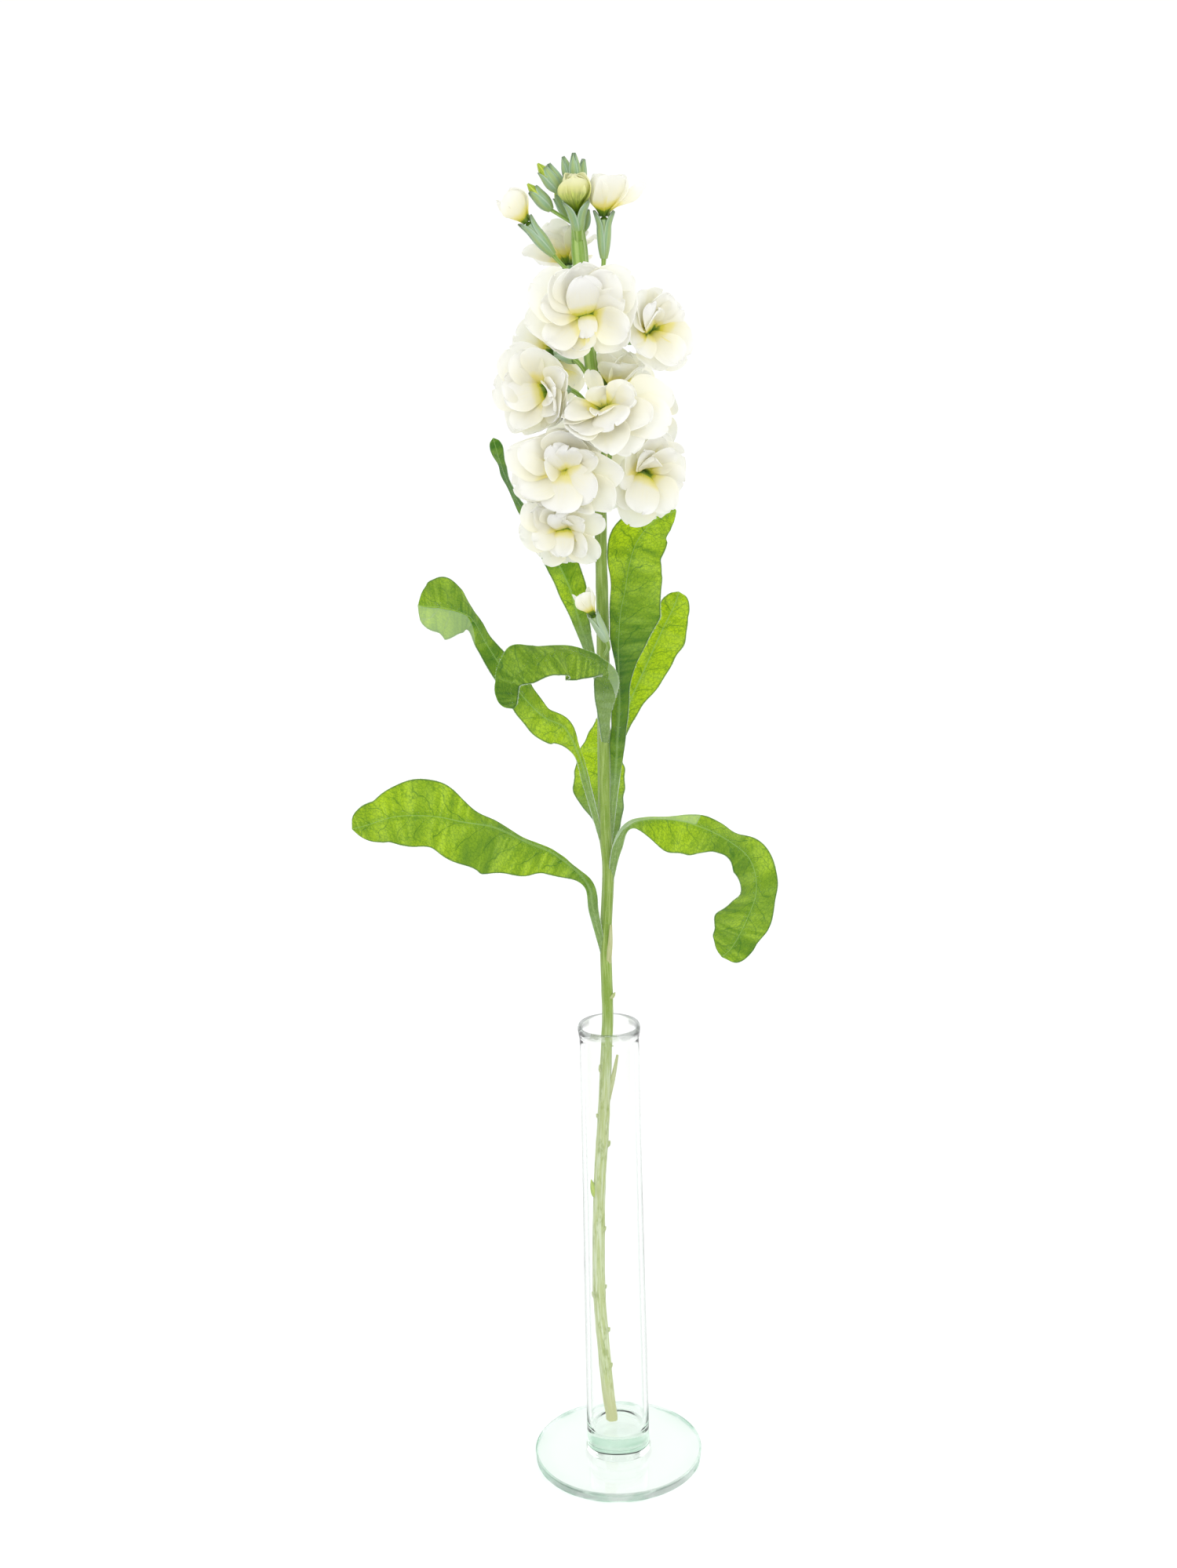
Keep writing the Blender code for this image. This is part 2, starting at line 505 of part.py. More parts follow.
def leaf_place(leaf):
    """The middle surface of a leaf as a function of the way along it and across it."""
    rows = through(leaf["stations"], 61)

    def place(along, across):
        at = min(59.999, along * 60)
        index = int(at)
        row = [a + (b - a) * (at - index) for a, b in zip(rows[index], rows[index + 1])]
        ahead = Vector(rows[min(60, index + 2)][:3]) - Vector(rows[max(0, index - 1)][:3])
        ahead.normalize()
        side = ahead.cross(Vector((0.0, 1.0, 0.0))).normalized()
        back = side.cross(ahead)
        if back.y < 0.0:
            back = -back
        half, lean = (row[3], row[4]) if across < 0 else (row[5], row[6])
        half = max(0.8, half)
        lean = math.radians(lean)
        hand = 1.0 if across < 0 else -1.0
        share = abs(across)
        way = side * (hand * math.cos(lean)) + back * math.sin(lean)
        lift = back * math.cos(lean) - side * (hand * math.sin(lean))
        ripple = leaf["wave"] * min(1.0, half / 8.0) * share * share
        turns = leaf["waves"] * along
        ripple *= math.sin(2 * math.pi * turns + leaf["phase"] + (1.3 if across < 0 else 0.0))
        return Vector(row[:3]) + way * (half * share) + lift * ripple

    return place


def make_leaf(name, collection, material, clearance):
    """A long blade on its flat stalk, with its base cut to the stem it grows from."""
    piece = sheet(name, LEAF_ROWS, LEAF_COLUMNS, leaf_place(LEAVES[name]), LEAF_THICKNESS, collection)
    cut_clear(piece, clearance)
    keep_largest(piece)
    piece.data.materials.append(material)
    return piece


def sepal_place(bloom, turn, opening):
    """The middle surface of one of the four narrow sepals at the top of a calyx."""
    throat, axis, right, up = bloom_frame(bloom)
    outward = right * math.cos(math.radians(turn)) + up * math.sin(math.radians(turn))
    across_way = axis.cross(outward)
    root = throat - axis * (PETAL_CORE + 2.2) + outward * 1.5

    def place(along, across):
        angle = math.radians(opening * (0.4 + along))
        spot = root + (outward * math.sin(angle) + axis * math.cos(angle)) * (6.5 * along)
        half = 1.5 - 1.1 * along
        return spot + across_way * (half * across)

    return place


def grow_stem(name, swell, collection):
    """The stem with its stalks, calyces, sepals, closed buds and scars in one body, swollen all round."""
    stem = tube(name, STEM_POINTS, [radius + swell for radius in STEM_RADII], 2, collection)
    parts = new_collection(name + "_parts")
    for bloom_name, bloom in BLOOMS.items():
        points, radii = stalk_line(bloom_name, bloom)
        if swell:
            points[-1] = points[-1] + (points[-1] - points[-2]).normalized() * swell
        tube("stalk", points, [radius + swell for radius in radii], 1, parts)
        if bloom_name in SEPAL_BLOOMS:
            for quarter in range(4):
                place = sepal_place(bloom, 45 + 90 * quarter, SEPAL_BLOOMS[bloom_name])
                sheet("sepal", 2, 1, place, BLADE + 2 * swell, parts)
    for base, tip, radius in BUDS:
        base = Vector(base)
        tip = Vector(tip)
        start = stem_at(min(base.z - 4.0, STEM_POINTS[-1][2] - 1.0))
        points = [start]
        radii = [1.1 + swell]
        for share, width in BUD_PROFILE:
            points.append(base.lerp(tip, share))
            radii.append(radius * width + swell)
        tube("bud", points, radii, 1, parts)
    for height, turn, reach in STUBS:
        start = stem_at(height)
        way = Vector((math.cos(math.radians(turn)), math.sin(math.radians(turn)), 0.5))
        tube("scar", [start, start + way * (2.3 + reach * 0.6), start + way * (2.3 + reach)],
             [1.5 + swell, 1.2 + swell, 0.7 + swell], 0, parts)
    for low, high, out, turn in TORN_STRIPS:
        base = stem_at(low)
        top = stem_at(high)
        way = Vector((math.cos(math.radians(turn)), math.sin(math.radians(turn)), 0.0))
        middle = base.lerp(top, 0.5)
        tube("strip", [base + way * 1.5, middle + way * (2.6 + out / 3), top + way * (2.4 + out)],
             [1.0 + swell, 0.8 + swell, 0.5 + swell], 0, parts)
    join_all(stem, parts)
    keep_largest(stem)
    return stem


def build():
    """Make every piece of the vase and its flower."""
    for piece in list(bpy.data.objects):
        bpy.data.objects.remove(piece)
    flower = new_collection("stock flower in vase")
    cutters = new_collection("cutters")

    glass = surface_material("glass", (0.88, 0.96, 0.93), 0.03, alpha=0.35, transmission=1.0)
    green = surface_material("stem_green", (0.32, 0.47, 0.16), 0.55)
    leaf = surface_material("leaf_green", (0.28, 0.50, 0.07), 0.50)
    cream = surface_material("petal_cream", (0.95, 0.93, 0.80), 0.60)
    young = surface_material("petal_young", (0.80, 0.85, 0.45), 0.60)

    make_vase(flower, glass)
    stem = grow_stem("stem", 0.0, flower)
    smooth_shading(stem)
    stem.data.materials.append(green)
    clearance = grow_stem("stem_clearance", GAP, cutters)
    clearance.hide_render = True
    clearance.display_type = "WIRE"
    for name in LEAVES:
        make_leaf(name, flower, leaf, clearance)
    for name in BLOOMS:
        make_bloom(name, flower, young if name == "opening_bud_top" else cream, clearance)


build()
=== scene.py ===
import math
import random

import bpy
import numpy as np
from mathutils import Matrix, Vector


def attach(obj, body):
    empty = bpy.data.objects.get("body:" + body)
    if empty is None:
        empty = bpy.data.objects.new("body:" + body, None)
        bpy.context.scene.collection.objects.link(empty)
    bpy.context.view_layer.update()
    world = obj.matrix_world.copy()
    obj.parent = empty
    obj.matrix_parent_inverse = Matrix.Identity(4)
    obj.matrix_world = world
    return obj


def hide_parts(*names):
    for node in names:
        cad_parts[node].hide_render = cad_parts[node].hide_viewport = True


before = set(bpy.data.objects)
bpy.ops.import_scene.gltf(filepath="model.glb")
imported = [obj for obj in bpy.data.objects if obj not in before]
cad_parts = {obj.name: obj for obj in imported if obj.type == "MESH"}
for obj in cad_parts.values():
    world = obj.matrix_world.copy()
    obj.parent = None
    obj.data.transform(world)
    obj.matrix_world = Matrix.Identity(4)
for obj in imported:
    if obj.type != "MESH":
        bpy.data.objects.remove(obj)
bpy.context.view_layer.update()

MM = 0.001                      # a millimetre in Blender's metres
GAP = 0.3                       # clearance between pieces

# The same sizes and places as in the part, in millimetres
VASE_HEIGHT = 200.0
FOOT_RADIUS = 35.75
FOOT_THICKNESS = 4.0
RIM_RADIUS = 12.9
NECK_RADIUS = 12.3              # outside of the tube just below the lip
BASE_RADIUS = 13.4              # outside of the tube just above the foot
WALL = 1.7
FLOOR_HEIGHT = 15.0             # top of the thick glass plug inside

# The main stem: points from its cut end to its tip, and its radius at each
STEM_POINTS = [
    (-2.6, 3.8, FLOOR_HEIGHT + GAP), (-2.6, 3.8, FLOOR_HEIGHT + GAP + 2), (-3.9, 3.0, 29),
    (-5.7, 2.4, 55), (-6.8, 2.4, 78), (-6.5, 2.8, 103), (-5.4, 4.3, 128), (-3.6, 6.0, 150),
    (-2.6, 6.9, 164), (-0.9, 7.6, 190), (-0.3, 7.9, 202),
    (-0.4, 8.4, 233), (1.2, 8.5, 263), (0.3, 8.4, 283), (0.8, 8.0, 332), (1.2, 7.6, 364),
    (1.2, 7.0, 395), (1.3, 6.0, 437), (-1.8, 5.0, 473), (-4.2, 5.0, 503), (-5.0, 5.0, 517),
]
STEM_RADII = [2.5, 2.5, 2.6, 2.6, 2.7, 2.7, 2.6, 2.6, 2.5, 2.4, 2.3,
              2.4, 2.4, 2.5, 2.5, 2.4, 2.2, 2.2, 2.4, 2.9, 2.2]

# Scars and torn leaf ends left on the stripped stem: height, direction round the stem in
# degrees (0 = right, 270 = front), reach
STUBS = [
    (210, 330, 2.0), (178, 200, 1.6), (157, 190, 1.7), (145, 340, 1.6), (125, 200, 2.3), (107, 330, 1.7),
    (80, 350, 1.6), (77, 200, 1.4), (60, 345, 1.5), (43, 335, 1.5),
]

# The leaves.  Each station is a point of the midrib, from the stem outwards: x, y, z, then half width
# and lean (degrees, + turns the half away from the front) of the half on the left of its growth, and
# the same of the right half.
LEAVES = {
    "leaf_low_left": dict(wave=1.3, waves=4.0, phase=0.0, stations=[
        (-1, 8, 225, 1, 0, 1, 0), (-5, 4, 247, 2, 0, 2, 0), (-8, -2, 262, 2, -10, 3, 60),
        (-20, -10, 276, 9, -15, 2, 75), (-31, -15, 283, 15, -15, 2, 70), (-43, -18, 290, 18, -15, 4, 60),
        (-55, -20, 293, 16, -10, 8, 45), (-67, -21, 296, 13, -10, 14, 20), (-81, -20, 296, 11, -5, 12, 10),
        (-93, -17, 292, 6, 0, 4, 5), (-99, -15, 290, 1, 0, 1, 0)]),
    "leaf_low_right": dict(wave=1.3, waves=3.5, phase=1.0, stations=[
        (2, 8, 258, 1, 0, 1, 0), (5, 4, 274, 2, 0, 2, 0), (11, 0, 285, 2, 50, 2, -30),
        (25, -6, 288, 2, 65, 12, -30), (38, -11, 286, 6, 55, 13, -30), (50, -15, 280, 7, 45, 6, -50),
        (57, -17, 273, 9, 30, 9, -40), (59, -17, 261, 9, 20, 9, -30), (55, -14, 247, 11, 10, 12, -10),
        (50, -11, 236, 6, 5, 8, 0), (46, -9, 231, 1, 0, 1, 0)]),
    "leaf_mid_left": dict(wave=0.8, waves=3.5, phase=2.0, stations=[
        (-1, 8, 276, 1, 0, 1, 0), (-6, 4, 300, 2, 0, 1, 0), (-10, 0, 315, 2, -20, 2, 40),
        (-15, -4, 326, 8, -30, 5, 60), (-23, -6, 331, 8, -30, 6, 55), (-31, -8, 340, 6, -30, 8, 50),
        (-38, -10, 351, 5, -20, 6, 50), (-44, -13, 362, 4, -20, 4, 50), (-48, -17, 371, 4, -40, 5, 60),
        (-52, -20, 375, 9, -45, 11, 50), (-59, -24, 378, 13, -40, 13, 45), (-64, -27, 379, 8, -30, 7, 40),
        (-68, -29, 380, 1, 0, 1, 40)]),
    "leaf_front": dict(wave=0.6, waves=3.0, phase=0.5, stations=[
        (1, 7, 315, 1, 0, 1, 0), (1, 0, 332, 3, 0, 3, 0), (2, -6, 343, 5, 10, 5, 10),
        (2, -14, 351, 3, -30, 3, 50), (-5, -22, 357, 8, -40, 4, 60), (-14, -30, 362, 12, -30, 3, 70),
        (-21, -37, 361, 9, -30, 7, 40), (-28, -42, 358, 7, -30, 10, 20), (-33, -45, 354, 4, -10, 7, 10),
        (-34, -45, 348, 2, 0, 3, 0), (-33, -44, 343, 1, 0, 1, 0)]),
    "leaf_right_upper": dict(wave=1.2, waves=4.0, phase=0.8, stations=[
        (2, 9, 275, 1, 0, 1, 0), (5, 7, 304, 2, 0, 2, 0), (6, 4, 319, 4, 50, 4, 30),
        (7, 2, 333, 4, 50, 4, 30), (7, 0, 345, 2, 60, 6, 20), (7, -1, 357, 4, 50, 11, 10),
        (8, -1, 370, 5, 40, 15, 10), (10, 0, 379, 8, 40, 15, 10), (12, 2, 389, 9, 30, 14, 10),
        (15, 5, 397, 11, 20, 12, 10), (21, 9, 404, 8, 10, 9, 10), (27, 12, 407, 4, 0, 5, 10),
        (31, 14, 408, 1, 0, 1, 0)]),
    "leaf_right_behind": dict(wave=1.2, waves=3.0, phase=2.2, stations=[
        (0, 9, 292, 1, 0, 1, 0), (4, 15, 310, 2, 0, 2, 0), (11, 20, 329, 5, 10, 5, 0),
        (18, 22, 344, 8, 10, 9, 0), (25, 22, 359, 8, 10, 10, 0), (30, 21, 369, 5, 10, 6, 0),
        (32, 20, 375, 1, 0, 1, 0)]),
    "leaf_behind_mid": dict(wave=1.2, waves=3.0, phase=0.3, stations=[
        (1, 9, 265, 1, 0, 1, 0), (0, 16, 281, 4, 0, 7, 0), (-1, 23, 294, 11, 0, 10, 0),
        (-1, 33, 305, 9, 0, 9, 0), (0, 45, 314, 4, 0, 4, 0), (1, 54, 318, 1, 0, 1, 0)]),
    "leaf_behind_upper": dict(wave=0.6, waves=3.0, phase=1.4, stations=[
        (0, 8, 337, 1, 0, 1, 0), (-4, 14, 352, 2, 0, 2, 0), (-8, 17, 365, 3, 0, 4, 0),
        (-12, 20, 379, 5, 0, 7, 0), (-18, 23, 391, 5, 10, 7, 10), (-26, 25, 404, 5, 50, 5, -50),
        (-33, 25, 416, 5, 70, 3, -70), (-37, 24, 427, 4, 60, 4, -60), (-40, 24, 437, 1, 0, 1, 0)]),
}

# The blooms.  throat: where the petals meet; facing: the way the bloom looks; fork: the
# height at which its stalk leaves the stem; closing: how far its petals bend back inwards.
# A petal is its direction round the bloom (0 = right, 90 = up, seen from the front), how far
# it opens from the bloom's axis, its length, its width and how far its sides cup.
BLOOMS = {
    "bloom_front_top": dict(throat=(-3, -17, 484), facing=(0.0, -1.0, 0.10), fork=455, petals=[
        (148, 76, 21, 18, 20), (190, 86, 21, 15, 12), (232, 90, 21, 15, 15), (320, 90, 20, 15, 15),
        (3, 84, 22, 14, 12), (38, 74, 21, 18, 20), (95, 58, 17, 19, 25), (257, 78, 12, 11, 25),
        (90, 46, 14, 12, 35)]),
    "bloom_right_top": dict(throat=(20, -6, 477.5), facing=(0.50, -0.82, 0.25), fork=450, petals=[
        (115, 60, 14, 15, 25), (62, 72, 14, 14, 15), (12, 80, 13, 12, 15), (325, 86, 17, 17, 15),
        (272, 88, 14, 15, 15), (185, 74, 14, 12, 20), (95, 25, 10, 9, 40)]),
    "bloom_left_top": dict(throat=(-17.5, -10, 457), facing=(-0.50, -0.85, 0.05), fork=436, petals=[
        (130, 72, 19, 17, 20), (178, 80, 19, 15, 15), (222, 86, 19, 15, 15), (268, 86, 20, 16, 20),
        (78, 66, 16, 15, 20), (15, 66, 17, 12, 25), (320, 45, 14, 10, 30)]),
    "bloom_front_mid": dict(throat=(4, -18, 449), facing=(-0.10, -0.72, 0.68), fork=402, petals=[
        (185, 80, 24, 13, 15), (220, 92, 23, 16, 20), (258, 98, 19, 16, 20), (300, 96, 20, 15, 15),
        (338, 88, 24, 16, 15), (12, 82, 24, 15, 15), (95, 52, 8, 13, 25), (258, 40, 10, 9, 45)]),
    "bloom_left_low": dict(throat=(-10.5, -15, 428), facing=(-0.25, -0.96, 0.05), fork=405, petals=[
        (158, 76, 22, 17, 15), (197, 84, 20, 15, 15), (236, 88, 22, 17, 15), (276, 90, 22, 17, 20),
        (320, 84, 22, 15, 15), (3, 76, 24, 14, 20), (80, 60, 17, 16, 25), (150, 30, 11, 10, 45)]),
    "bloom_right_low": dict(throat=(17, -3, 425), facing=(0.40, -0.90, -0.05), fork=396, petals=[
        (212, 74, 16, 13, 25), (250, 84, 19, 15, 20), (290, 86, 17, 15, 20), (332, 82, 15, 14, 15),
        (20, 80, 16, 15, 15), (65, 76, 16, 14, 15), (125, 64, 16, 15, 20), (80, 28, 10, 9, 40)]),
    "bloom_bottom": dict(throat=(-12.5, -9, 405.5), facing=(-0.25, -0.94, -0.12), fork=380, petals=[
        (318, 78, 16, 12, 20), (275, 86, 12, 14, 20), (232, 88, 14, 13, 15), (188, 82, 16, 12, 15),
        (140, 78, 16, 14, 15), (88, 60, 12, 14, 20), (20, 72, 17, 12, 20), (60, 28, 9, 8, 40)]),
    "bloom_back_top": dict(throat=(-9, 14, 502), facing=(-0.15, 0.35, 0.92), fork=484, petals=[
        (185, 62, 16, 12, 15), (240, 30, 16, 11, 20), (320, 34, 15, 11, 20), (10, 48, 15, 11, 15),
        (65, 66, 15, 13, 15), (125, 66, 15, 13, 15)]),
    "bloom_middle": dict(throat=(7, 6, 455), facing=(0.25, -0.20, 0.95), fork=432, petals=[
        (200, 26, 15, 13, 30), (268, 30, 15, 14, 30), (335, 34, 15, 13, 30), (45, 60, 15, 14, 20),
        (120, 60, 15, 13, 20)]),
    "bloom_back_left": dict(throat=(-14, 21, 470), facing=(-0.45, 0.85, 0.20), fork=448, petals=[
        (20, 82, 17, 15, 15), (92, 80, 17, 15, 15), (165, 84, 16, 15, 15), (235, 84, 16, 15, 15),
        (306, 84, 17, 15, 15), (60, 45, 12, 12, 30)]),
    "bloom_back_right": dict(throat=(16, 24, 446), facing=(0.50, 0.84, 0.20), fork=424, petals=[
        (10, 82, 17, 15, 15), (82, 80, 17, 15, 15), (155, 84, 16, 15, 15), (228, 84, 17, 15, 15),
        (300, 84, 17, 15, 15), (100, 45, 12, 12, 30)]),
    "bloom_back_low": dict(throat=(0, 27, 424), facing=(-0.05, 0.98, 0.10), fork=404, petals=[
        (15, 82, 17, 15, 15), (88, 80, 17, 15, 15), (160, 84, 16, 15, 15), (232, 84, 17, 15, 15),
        (304, 84, 17, 15, 15), (80, 45, 12, 12, 30)]),
    "opening_bud_left": dict(
        throat=(-23.5, 1, 517.5), facing=(-0.62, -0.10, 0.78), fork=486, closing=60, petals=[
            (10, 34, 13, 13, 55), (130, 34, 13, 13, 55), (250, 34, 13, 13, 55)]),
    "opening_bud_top": dict(throat=(-5, -1, 521), facing=(-0.05, -0.30, 0.95), fork=508, closing=45, petals=[
        (30, 30, 13, 13, 50), (150, 30, 13, 13, 50), (270, 30, 13, 13, 50)]),
    "opening_bud_right": dict(throat=(5, 0, 519), facing=(0.02, -0.08, 1.0), fork=476, closing=30, petals=[
        (200, 38, 15, 17, 35), (285, 36, 15, 17, 35), (20, 38, 15, 15, 35), (110, 36, 15, 16, 35),
        (352, 62, 18, 8, 20)]),
    "opening_bud_small": dict(
        throat=(-2.5, -3, 370.5), facing=(-0.42, -0.15, 0.90), fork=348, closing=25, petals=[
            (180, 24, 10, 8, 40), (270, 24, 10, 8, 40), (0, 24, 10, 8, 40)]),
}

# Torn strips: height of its root, height of its free end, how far that stands off, direction
TORN_STRIPS = [(164, 184, 2.6, 340), (224, 241, 1.2, 300)]

# What all blooms share
SHINGLE = 0.22                  # each petal laps over the next like a shingle, by this slope
PETAL_CORE = 2.2                # ball at a bloom's throat that the petals grow from
CALYX_LENGTH = 12.5             # on every bloom but those named next
CALYX_LENGTHS = {"opening_bud_top": 4.0, "opening_bud_small": 9.5}
CALYX_RADIUS = 2.5
STALK_RADIUS = 1.05

# The closed green buds at the tip: base, tip and radius
BUDS = [
    ((-9.0, 4.0, 526.0), (-15.0, 3.0, 538.5), 2.7), ((-6.5, 4.5, 530.0), (-9.6, 5.5, 541.0), 2.2),
    ((-5.2, 3.0, 530.0), (-5.6, 1.0, 542.0), 2.3), ((-4.0, 5.0, 529.0), (-2.0, 6.0, 540.0), 2.2),
    ((-11.5, 1.5, 528.5), (-19.0, 0.0, 538.5), 2.9), ((-14.5, 2.5, 522.0), (-23.0, 2.0, 531.5), 2.8),
    ((-8.5, 8.0, 520.0), (-13.0, 11.0, 529.0), 2.3), ((-2.4, 9.0, 514.5), (-0.6, 12.0, 522.0), 1.8),
    ((-4.0, 9.0, 524.0), (-3.0, 14.0, 534.0), 2.4), ((-8.5, 9.0, 525.0), (-12.0, 14.0, 535.0), 2.3),
]

UP = np.array([0.0, 0.0, 1.0])

# Finished petals are this much longer and wider than the solids'
PETAL_LONGER = 1.05
PETAL_WIDER = 1.12
SEPAL_THICKNESS = 0.28
BUD_STALK_RADIUS = 0.7

# Points along and across the finished surfaces
VASE_GRID = (460, 88)
LEAF_GRID = (190, 41)
PETAL_GRID = (28, 21)
INNER_PETAL_GRID = (22, 17)
SEPAL_GRID = (20, 9)

# Kinds of green piece, kept at each point of the stem for its material
STEM = 0.0
STALK = 0.3
BUD_STALK = 0.6
BUD_CORE = 2.0
SEPAL = 3.0
DOWNY_SEPAL = 3.9
HAIR = 5.0
# Tones of the stem, from the cut end inside the glass to the green top
CUT = 2.0
TORN = 1.4
SCAR = 0.9
YOUNG = -0.8
# The tone of what is yellow-green
FRESH = 3.0
# A leaf's tone is its painted shade, how brightly light is painted as coming through it, raised by this on
# its underside
UNDERSIDE = 2.0
# A petal's tone is how much light it keeps back: 0 for an outer one, and these for an inner one, for one
# with its sides curled back, and for such a one that stands against the light
INNER_TONE = 0.35
CURLED_TONE = 1.0
LIT_FROM_INSIDE = {"bloom_middle": -0.5}


def unit(vectors):
    """Vectors brought to length one."""
    vectors = np.asarray(vectors, float)
    return vectors / np.maximum(1e-9, np.linalg.norm(vectors, axis=-1, keepdims=True))


def ease(share):
    """0 to 1 with a soft start and a soft end."""
    share = np.clip(share, 0.0, 1.0)
    return share * share * (3.0 - 2.0 * share)


def evenly(count):
    """Values spread evenly from 0 to 1."""
    return np.linspace(0.0, 1.0, count)


def marks(first, second, third):
    """The three numbers that a material reads at each point of a grid."""
    return np.stack(np.broadcast_arrays(first, second, third), -1)


def level_way(turn):
    """The level direction at a turn in degrees: 0 is right, 270 is front."""
    return np.array([math.cos(math.radians(turn)), math.sin(math.radians(turn)), 0.0])


def colour(red, green, blue):
    """A display colour as the linear one that shaders take."""
    linear = [((c + 0.055) / 1.055) ** 2.4 if c > 0.04045 else c / 12.92 for c in (red, green, blue)]
    return (*linear, 1.0)


def through(rows, count):
    """Rows spread evenly along the smooth curve through the given ones, and its length.

    The first three numbers of a row are a place.
    """
    rows = np.asarray(rows, float)
    guides = np.vstack([2 * rows[0] - rows[1], rows, 2 * rows[-1] - rows[-2]])
    t = (np.arange(16) / 16)[:, None]
    fine = []
    for p0, p1, p2, p3 in zip(guides, guides[1:], guides[2:], guides[3:]):
        fine.append(0.5 * (2 * p1 + (p2 - p0) * t + (2 * p0 - 5 * p1 + 4 * p2 - p3) * t ** 2
                           + (3 * p1 - p0 - 3 * p2 + p3) * t ** 3))
    fine = np.vstack(fine + [rows[-1:]])
    reach = np.r_[0.0, np.cumsum(np.linalg.norm(np.diff(fine[:, :3], axis=0), axis=1))]
    goals = np.linspace(0.0, reach[-1], count)
    return np.stack([np.interp(goals, reach, fine[:, k]) for k in range(rows.shape[1])], 1), reach[-1]


def stem_at(height):
    """Centre of the main stem at a height."""
    points = np.asarray(STEM_POINTS, float)
    return np.array([np.interp(height, points[:, 2], points[:, k]) for k in range(3)])


def facings(grid):
    """Vectors that stand square on a grid of points."""
    return np.cross(np.gradient(grid, axis=0), np.gradient(grid, axis=1))


def place_in_scene(name, data):
    """A new object in the scene."""
    made = bpy.data.objects.new(name, data)
    bpy.context.scene.collection.objects.link(made)
    return made


def tube_faces(rows, around, inside_out=False):
    """Quads round a tube of points and over both its ends."""
    index = np.arange(rows * around).reshape(rows, around)
    right = np.roll(index, -1, axis=1)
    corners = [index[:-1], right[:-1], right[1:], index[1:]]
    if inside_out:
        corners = corners[:1] + corners[:0:-1]
    faces = [np.stack(corners, -1).reshape(-1, 4)]
    for line, flip in ((index[0], not inside_out), (index[-1], inside_out)):
        for step in range(1, around // 2):
            quad = [line[step - 1], line[step], line[-step - 1], line[-step]]
            faces.append([quad[::-1] if flip else quad])
    return np.concatenate(faces)


